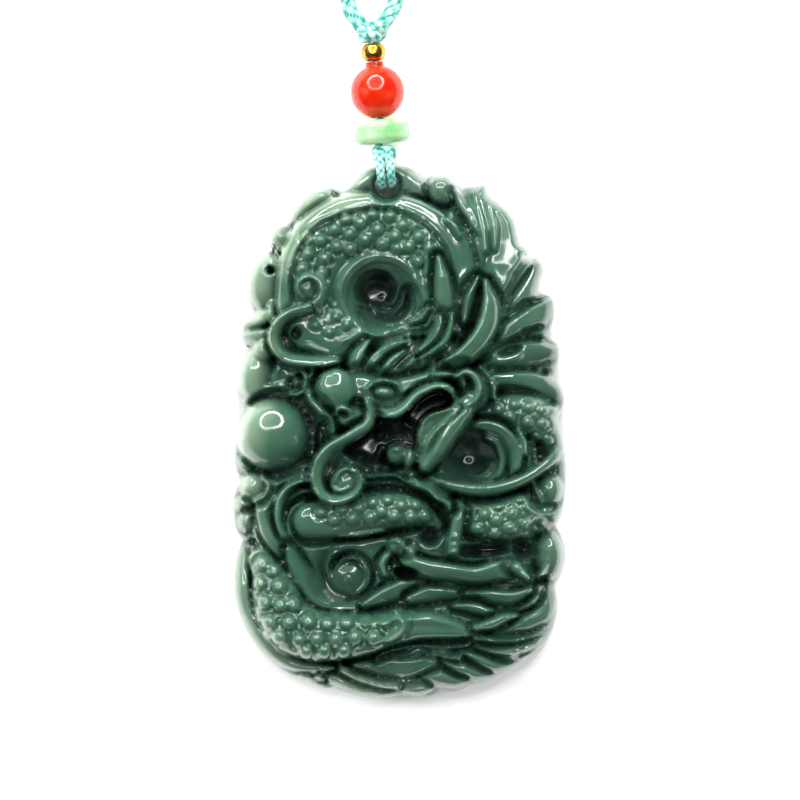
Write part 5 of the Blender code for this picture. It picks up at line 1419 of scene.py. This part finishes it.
def even_steps(path: np.ndarray, step: float) -> np.ndarray:
    """Return a path with its points at this spacing."""
    path = np.asarray(path, float)
    run = np.concatenate([[0.0], np.cumsum(np.linalg.norm(np.diff(path, axis=0), axis=1))])
    wanted = np.arange(0.0, run[-1], step)
    return np.column_stack([np.interp(wanted, run, path[:, k]) for k in range(3)])


def path_length(path: np.ndarray) -> float:
    """Return a path's length."""
    return float(np.linalg.norm(np.diff(path, axis=0), axis=1).sum())


@dataclass
class HangingCord:
    """The thin doubled cord: through the hole and the three beads and into the upper knot. Sizes are in mm.

    Attributes:
        hole: Where it passes through the jade, in the model.
        lean: How far it leans to the left, in radians.
        axis: Height of the beads' axis above the floor.
        lower_knot: Distance from the hole to the lower knot.
        disc: Distance to the disc bead.
        red: Distance to the red bead.
        gold: Distance to the gold bead.
        upper_knot: Distance to the upper knot.
        strand: Diameter of the cord.
        apart: Half the distance between its two strands at the hole.
        bend: Radius of each bend of the loop.
        front: Height of the loop where it lies over the jade's edge.
        behind: Height of the loop where it lies behind the jade.
    """

    hole: Point
    lean: float = math.radians(5.8)
    axis: float = 3.15
    lower_knot: float = 3.45
    disc: float = 5.9
    red: float = 10.4
    gold: float = 14.85
    upper_knot: float = 17.15
    strand: float = 0.98
    apart: float = 0.56
    bend: float = 1.9
    front: float = 5.9
    behind: float = 0.85

    def at(self, distance: float, height: float | None = None, across: float = 0.0) -> Triple:
        """Return a place on the hanging cord, in mm.

        Args:
            distance: Its distance from the hole.
            height: Its height, or the beads' axis.
            across: How far to the right of the cord's line.
        """
        s, c = math.sin(self.lean), math.cos(self.lean)
        x, y = self.hole[0] - distance * s + across * c, self.hole[1] + distance * c + across * s
        return x, y, self.axis if height is None else height

    def loop(self) -> list[Point]:
        """Return a strand's route as distance and height, from the beads through the hole and up behind."""
        r = self.bend
        turn = math.acos(1 - (self.front - self.axis) / (2 * r))
        middle = r - 0.05
        start = middle + 2 * r * math.sin(turn)
        up, half = np.linspace(0, turn, 9), np.linspace(0, math.pi, 17)
        rise = [(start - r * math.sin(a), self.axis + r * (1 - math.cos(a))) for a in up]
        level = [(middle + r * math.sin(a), self.front - r * (1 - math.cos(a))) for a in up[-2::-1]]
        over = [(middle - r * math.sin(a), self.front - r * (1 - math.cos(a))) for a in half[1:9]]
        low = self.behind + r
        under = [(middle - r * math.cos(a), low - r * math.sin(a)) for a in half]
        return rise + level + over + under + [(middle + r, low + 0.6), (middle + r, low + 1.2)]

    def strand_line(self, side: float, skip: int = 0) -> list[Triple]:
        """Return one strand of the loop, which leaves the beads' line and spreads to one side.

        Args:
            side: -1 for the left strand, 1 for the right.
            skip: Points of the route that are left out at its start.
        """
        route = self.loop()[skip:]
        first = self.loop()[0][0]
        return [self.at(d, z, side * self.apart * min(1.0, 0.3 + (first - d) / 2.6)) for d, z in route]

    def path(self) -> np.ndarray:
        """Return the whole centreline, from the upper knot through the beads and the hole and up behind."""
        # The two bare numbers are places between two beads.
        beads = [self.at(d) for d in (self.upper_knot + 0.7, self.gold, 12.2, self.red, 8.0, self.disc + 0.9)]
        return curve_through(beads + self.strand_line(-1.0, 1), 0.1)

    def make(self) -> Cord:
        """Return the thin cord's make."""
        return Cord(self.strand, strands=3, lay=2.4, around=18, step=0.1, depth=0.22)

    def tie_strand(self, finish: Material) -> Thing:
        """Build the loop's right strand, which starts and ends in the lower knot.

        Args:
            finish: The cord's material.

        Returns:
            The strand.
        """
        line = curve_through(self.strand_line(1.0, 6), 0.1)
        thing = self.make().tube("hanging_strand_right", line)
        hand_over(thing, finish, Slot.CORD, "loop_right")
        return thing

    def build(self, finish: Material, knots: list[Thing]) -> Thing:
        """Build the cord.

        Args:
            finish: The cord's material.
            knots: The knots, beads and strand that are on it. Not used.

        Returns:
            The cord.
        """
        path = self.path()
        thing = self.make().tube("hanging_cord", path)
        hand_over(thing, finish, Slot.CORD, "bead_cord", "loop_left")
        LOG.info("hanging cord: %.1f mm", path_length(path))
        return thing


@dataclass
class CordKnot:
    """A knot, tied in the cord itself: a closed line that winds round an oval.

    Attributes:
        name: The piece's name.
        replaces: The CAD node that it stands for.
        half: Half its size across, along and up, in mm.
        diameter: Diameter in mm of the cord.
        winds: How often the line goes round the long way and through the middle.
        lift: How far in mm it lies above the beads' axis.
    """

    name: str
    replaces: str
    half: Triple
    diameter: float
    winds: tuple[int, int] = (2, 3)
    lift: float = 0.0

    def build(self, cord: HangingCord, distance: float, finish: Material) -> Thing:
        """Tie the knot.

        Args:
            cord: The cord that it is on.
            distance: Its distance from the hole, in mm.
            finish: Its material.

        Returns:
            The knot.
        """
        t = np.linspace(0, 2 * math.pi, 400, endpoint=False)
        p, q = self.winds
        ring = 1 + 0.5 * np.cos(q * t)
        flat = np.column_stack([ring * np.cos(p * t), 0.5 * np.sin(q * t) * 1.3, ring * np.sin(p * t)])
        line = flat / np.abs(flat).max(0) * (np.array(self.half) - self.diameter / 2)
        s, c = math.sin(cord.lean), math.cos(cord.lean)
        x, y, z = line.T
        line = np.column_stack([x * c - y * s, x * s + y * c, z]) + cord.at(distance, cord.axis + self.lift)
        make = Cord(self.diameter, strands=3, lay=2.8, around=16, step=0.12, depth=0.22)
        thing = make.tube(self.name, np.vstack([line, line[:1]]), closed=True)
        hand_over(thing, finish, Slot.CORD, self.replaces)
        return thing


@dataclass
class Bead:
    """A drilled bead on the hanging cord.

    Attributes:
        name: The piece's name.
        replaces: The CAD node that it stands for.
        slot: The record's material slot.
        length: Its length along the cord, in mm.
        diameter: Its diameter in mm.
        bore: Diameter of its hole in mm.
        round_edge: Radius in mm of its rounded edge, or 0 for a ball.
        collar: Length in mm of the collar at its far end, a third as wide as the bead, or 0 for none.
    """

    name: str
    replaces: str
    slot: Slot
    length: float
    diameter: float
    bore: float
    round_edge: float = 0.0
    collar: float = 0.0

    def build(self, cord: HangingCord, distance: float, finish: Material) -> Thing:
        """Turn and drill the bead.

        Args:
            cord: The cord that it is on.
            distance: Its distance from the hole, in mm.
            finish: Its material.

        Returns:
            The bead.
        """
        where = [v * MM for v in cord.at(distance)]
        turn = (math.pi / 2, 0.0, cord.lean)
        clean_selection()
        if self.round_edge:
            bpy.ops.mesh.primitive_cylinder_add(
                vertices=96, radius=self.diameter / 2 * MM, depth=self.length * MM, location=where,
                rotation=turn,
            )
            thing = take_new(self.name)
            apply_modifier(thing, "BEVEL", width=self.round_edge * MM, segments=8, limit_method="ANGLE")
        else:
            bpy.ops.mesh.primitive_uv_sphere_add(
                segments=96, ring_count=48, radius=1.0, location=where, rotation=turn,
                scale=(self.diameter / 2 * MM, self.diameter / 2 * MM, self.length / 2 * MM),
            )
            thing = take_new(self.name)
        if self.collar:
            top = cord.at(distance + self.length / 2)
            add_cylinder(thing, "UNION", top, self.diameter / 6, 2 * self.collar, turn, 48)
        add_cylinder(thing, "DIFFERENCE", cord.at(distance), self.bore / 2, 2 * self.length, turn, 32)
        edges = {"limit_method": "ANGLE", "angle_limit": math.radians(50)}
        apply_modifier(thing, "BEVEL", width=0.12 * MM, segments=2, **edges)
        smooth(thing, 50)
        hand_over(thing, finish, self.slot, self.replaces)
        return thing


@dataclass
class NeckCord:
    """The thick neck cord: out of the upper knot, round a coil beyond it and back. Sizes are in mm.

    Attributes:
        diameter: Its diameter.
        spread: Distance of each strand from the knot's middle.
        coil: Mean diameter of the coil.
        beyond: Distance from the knot to the coil's middle.
    """

    diameter: float = 1.8
    spread: float = 2.7
    coil: float = 20.0
    beyond: float = 20.0

    def turns(self) -> list[Point]:
        """Return each turn's radius and height: rows of three and two, each in the grooves of the last."""
        d, middle = self.diameter, self.coil / 2
        wide, narrow = (middle + d, middle, middle - d), (middle - d / 2, middle + d / 2)
        out: list[Point] = []
        for row, radii in enumerate((wide, narrow, wide, narrow)):
            out += [(r, d / 2 + row * d * math.sqrt(0.75)) for r in radii]
        return out

    def path(self, knot: Triple) -> np.ndarray:
        """Return the centreline, from the knot's left side to its right side."""
        x, y, z = knot
        low, cx, cy = self.diameter / 2, x, y + self.beyond
        start = [
            (x - 0.9, y + 0.2, z), (x - 1.5, y + 1.2, z), (x - 2.3, y + 2.3, z - 0.5),
            (x - self.spread, y + 3.8, z - 1.3), (x - self.spread, y + 5.0, low + 0.2),
            (cx - 2.8, cy - 14.6, low), (cx - 3.9, cy - 12.9, low), (cx - 6.6, cy - 10.3, low),
        ]
        wound = []
        rows = self.turns()
        first, last = math.radians(-145), math.radians(-35)
        for k, (radius, height) in enumerate(rows):
            following = rows[min(k + 1, len(rows) - 1)]
            share = 1.0 if k < len(rows) - 1 else ((first - last) % (2 * math.pi)) / (2 * math.pi)
            for t in np.arange(0, share, 1 / 24):
                # A turn keeps its place for seven tenths of the way and then moves over to the next one's.
                move = min(max((t - 0.7) / 0.3, 0.0), 1.0)
                move = move * move * (3 - 2 * move)
                r = radius + (following[0] - radius) * move
                h = height + (following[1] - height) * move
                angle = first - 2 * math.pi * t
                wound.append((cx + r * math.cos(angle), cy + r * math.sin(angle), h))
        top = rows[-1][1]
        end = [
            (cx + 7.3, cy - 9.3, top), (cx + 4.6, cy - 12.2, top - 1.4), (cx + 3.1, cy - 14.4, low + 1.2),
            (x + self.spread, y + 4.3, low + 0.3), (x + self.spread, y + 3.6, z - 1.3),
            (x + 2.3, y + 2.3, z - 0.5), (x + 1.5, y + 1.2, z), (x + 0.9, y + 0.2, z),
        ]
        return curve_through(start + wound + end, 0.2)

    def build(self, knot: Triple, finish: Material) -> Thing:
        """Build the cord.

        Args:
            knot: The middle of the upper knot, in mm.
            finish: Its material.

        Returns:
            The cord.
        """
        path = self.path(knot)
        thing = Cord(self.diameter, strands=4, lay=6.4, around=22, step=0.27).tube("neck_cord", path)
        hand_over(thing, finish, Slot.CORD, "neck_left", "neck_right", "neck_coil")
        return thing


@dataclass
class Studio:
    """The floor, lights and camera. Lengths are in mm.

    Attributes:
        middle: The place that the camera looks down on.
        frame_side: Side of the square that it sees.
        lens: Focal length.
        sensor: Width of the camera's sensor.
        level: Height of the pendant's middle.
        floor: Radius of the floor.
        gap: How far the floor lies below the pendant.
        glow_oval: Half sizes of the oval under the jade where the floor doesn't glow.
        glow: Strength of the floor's glow.
        sky: Strength of the even light from all round.
        zenith: Strength of the light from straight above, where the camera is.
        box_towards: Direction of the soft box's middle.
        box_spread: Angle from its middle to its rim, in radians.
        bright_side: The part of the rim that is brightest, in radians.
        rim_panels: Straight panels that make up the rim.
        rim_width: Width of each panel, in metres.
        rim_power: Power of each panel, in watts.
        inside_power: Power of the soft box inside its rim, in watts.
        fill_power: Power of the left fill light, in watts. The right one has 0.6 of it.
        away: Distance of the rim, in metres.
    """

    middle: Point = (0.06, 3.565)
    frame_side: float = 88.9
    lens: float = 260.0
    sensor: float = 36.0
    level: float = 5.5
    floor: float = 1500.0
    gap: float = 0.05
    glow_oval: Point = (18.6, 30.0)
    glow: float = 0.35
    sky: float = 1.8
    zenith: float = 0.08
    box_towards: Triple = (-0.14, 0.67, 0.73)
    box_spread: float = math.radians(29)
    bright_side: float = math.radians(-50)
    rim_panels: int = 10
    rim_width: float = 0.06
    rim_power: float = 0.85
    inside_power: float = 0.9
    fill_power: float = 3.6
    away: float = 0.7

    def build_camera(self) -> None:
        """Look straight down, far enough away that the view is nearly flat."""
        data = bpy.data.cameras.new("camera")
        data.lens = self.lens
        data.sensor_width = self.sensor
        data.clip_end = 10.0
        camera = bpy.data.objects.new("camera", data)
        away = self.frame_side * self.lens / self.sensor
        camera.location = (self.middle[0] * MM, self.middle[1] * MM, (self.level + away) * MM)
        bpy.context.collection.objects.link(camera)
        bpy.context.scene.camera = camera

    def build_floor(self) -> None:
        """Lay a plain white floor with a faint paper grain."""
        clean_selection()
        bpy.ops.mesh.primitive_circle_add(
            vertices=96, radius=self.floor * MM, fill_type="NGON", location=(0.0, 0.0, -self.gap * MM),
        )
        floor = take_new("floor")
        material, tree, place = start_material("white_paper_backdrop")
        # The faint glow stands for a light table under the paper, which leaves a shadow only under the jade.
        shrink = (1 / self.glow_oval[0], 1 / self.glow_oval[1], 0.0)
        scaled = add_node(tree, "VectorMath", {0: place, 1: shrink}, operation="MULTIPLY").outputs["Vector"]
        away = add_node(tree, "VectorMath", {0: scaled}, operation="LENGTH").outputs["Value"]
        end_material(
            tree, Base_Color=linear("#FBFBFA"), Roughness=0.9, Emission_Color=linear("#FFFFFF"),
            Emission_Strength=remap(tree, away, (0.97, 1.02), (0.0, self.glow)),
            Normal=bumped(tree, clouded(tree, place, 0.6, 2.0), 0.02, 0.1),
        )
        floor.data.materials.append(material)

    def add_light(
        self, name: str, towards: Triple, away: float, size: Point, power: float,
        upright: Vector | None = None, round_shape: bool = False, mirrored: bool = True,
    ) -> None:
        """Hang a soft light that faces the pendant.

        Args:
            name: Its name.
            towards: The direction in which it hangs.
            away: Its distance in metres.
            size: Its width and height in metres.
            power: Its power in watts.
            upright: The direction that its height follows, or None.
            round_shape: Whether it is round.
            mirrored: Whether it shows in reflections.
        """
        data = bpy.data.lights.new(name, "AREA")
        data.shape = "ELLIPSE" if round_shape else "RECTANGLE"
        data.size, data.size_y = size
        data.energy = power
        light = bpy.data.objects.new(name, data)
        light.visible_glossy = mirrored
        back = Vector(towards).normalized()
        light.location = back * away
        if upright is None:
            light.rotation_euler = back.to_track_quat("Z", "Y").to_euler()
        else:
            height = (upright - back * upright.dot(back)).normalized()
            light.rotation_euler = Matrix((height.cross(back), height, back)).transposed().to_euler()
        bpy.context.collection.objects.link(light)

    def build_lights(self) -> None:
        """Light it from a dim sky and a big soft box, whose bright rim draws rings on every dome."""
        world = bpy.data.worlds.new("studio")
        world.use_nodes = True
        tree = world.node_tree
        towards = add_node(tree, "TexCoord", {}).outputs["Generated"]
        height = add_node(tree, "SeparateXYZ", {0: towards}).outputs["Z"]
        sky = remap(tree, height, (0.96, 0.5), (self.zenith, self.sky), interpolation_type="SMOOTHSTEP")
        tree.links.new(sky, tree.nodes["Background"].inputs["Strength"])
        bpy.context.scene.world = world
        middle = Vector(self.box_towards).normalized()
        across = middle.cross(Vector((0.0, 0.0, 1.0))).normalized()
        up = across.cross(middle)
        for k in range(self.rim_panels):
            turn = 2 * math.pi * k / self.rim_panels
            out = math.cos(turn) * across + math.sin(turn) * up
            towards = middle * math.cos(self.box_spread) + out * math.sin(self.box_spread)
            power = self.rim_power * (1.0 + 0.5 * math.cos(turn - self.bright_side))
            # A little over an even share of the rim, so that the panels overlap.
            side = 2.05 * math.pi * math.sin(self.box_spread) / self.rim_panels * self.away
            self.add_light(f"rim_{k}", tuple(towards), self.away, (side, self.rim_width), power, out)
        inside = (0.9 * self.away, 0.9 * self.away)
        self.add_light("box_inside", tuple(middle), self.away, inside, self.inside_power, round_shape=True)
        for name, side, power in (
            ("left_fill", (-1.0, 0.1, 0.55), self.fill_power),
            ("right_fill", (1.0, -0.2, 0.6), 0.6 * self.fill_power),
        ):
            self.add_light(name, side, 0.8, (0.3, 0.5), power, mirrored=False)

    def build(self) -> None:
        """Set the whole stage."""
        self.build_camera()
        self.build_floor()
        self.build_lights()
        bpy.context.scene.view_settings.view_transform = "Standard"


def main() -> None:
    """Build every piece in order and report it."""
    logging.basicConfig(level=logging.INFO, format="%(message)s")
    Studio().build()
    silk = BraidedSilk().make()
    plaque = Plaque()
    cord = HangingCord(hole=plaque.place(HOLE))
    pale = PolishedStone("serpentine_pale_polished", "#DDFBD6", "#A9E5A4", 2.2, 0.35, (0.8, 1.2, 0.8))
    red = PolishedStone("carnelian_polished", "#FF4A1A", "#EE2A0C", 2.6, 0.4, (2.0, 0.4, 0.2))
    lower = CordKnot("tied_lower_knot", "lower_knot", (1.5, 1.0, 1.3), 1.05, lift=1.1)
    disc = Bead("pale_disc", "disc_bead", Slot.PALE_STONE, 2.7, 6.3, 1.8, 0.9)
    ball = Bead("red_ball", "red_bead", Slot.RED_STONE, 6.0, 6.0, 1.8, collar=0.35)
    gilt = Bead("gilt_bead", "gold_bead", Slot.GOLD, 2.1, 2.7, 1.6, 0.9)
    upper = CordKnot("tied_upper_knot", "upper_knot", (1.85, 1.3, 1.55), 1.3)
    on_it = [
        lower.build(cord, cord.lower_knot, silk),
        disc.build(cord, cord.disc, pale.make()),
        ball.build(cord, cord.red, red.make()),
        gilt.build(cord, cord.gold, SpunBrass().make()),
        upper.build(cord, cord.upper_knot, silk),
    ]
    LOG.info("beads and knots: %s", ", ".join(thing.name for thing in on_it))
    hanging = cord.build(silk, on_it + [cord.tie_strand(silk)])
    LOG.info("%s: %d points", hanging.name, len(hanging.data.vertices))
    neck = NeckCord().build(cord.at(cord.upper_knot), silk)
    LOG.info("%s: %d points", neck.name, len(neck.data.vertices))
    jade = plaque.build(cord, CarvedJade().make())
    LOG.info("%s: %d points", jade.name, len(jade.data.vertices))


if __name__ == "__main__":
    main()
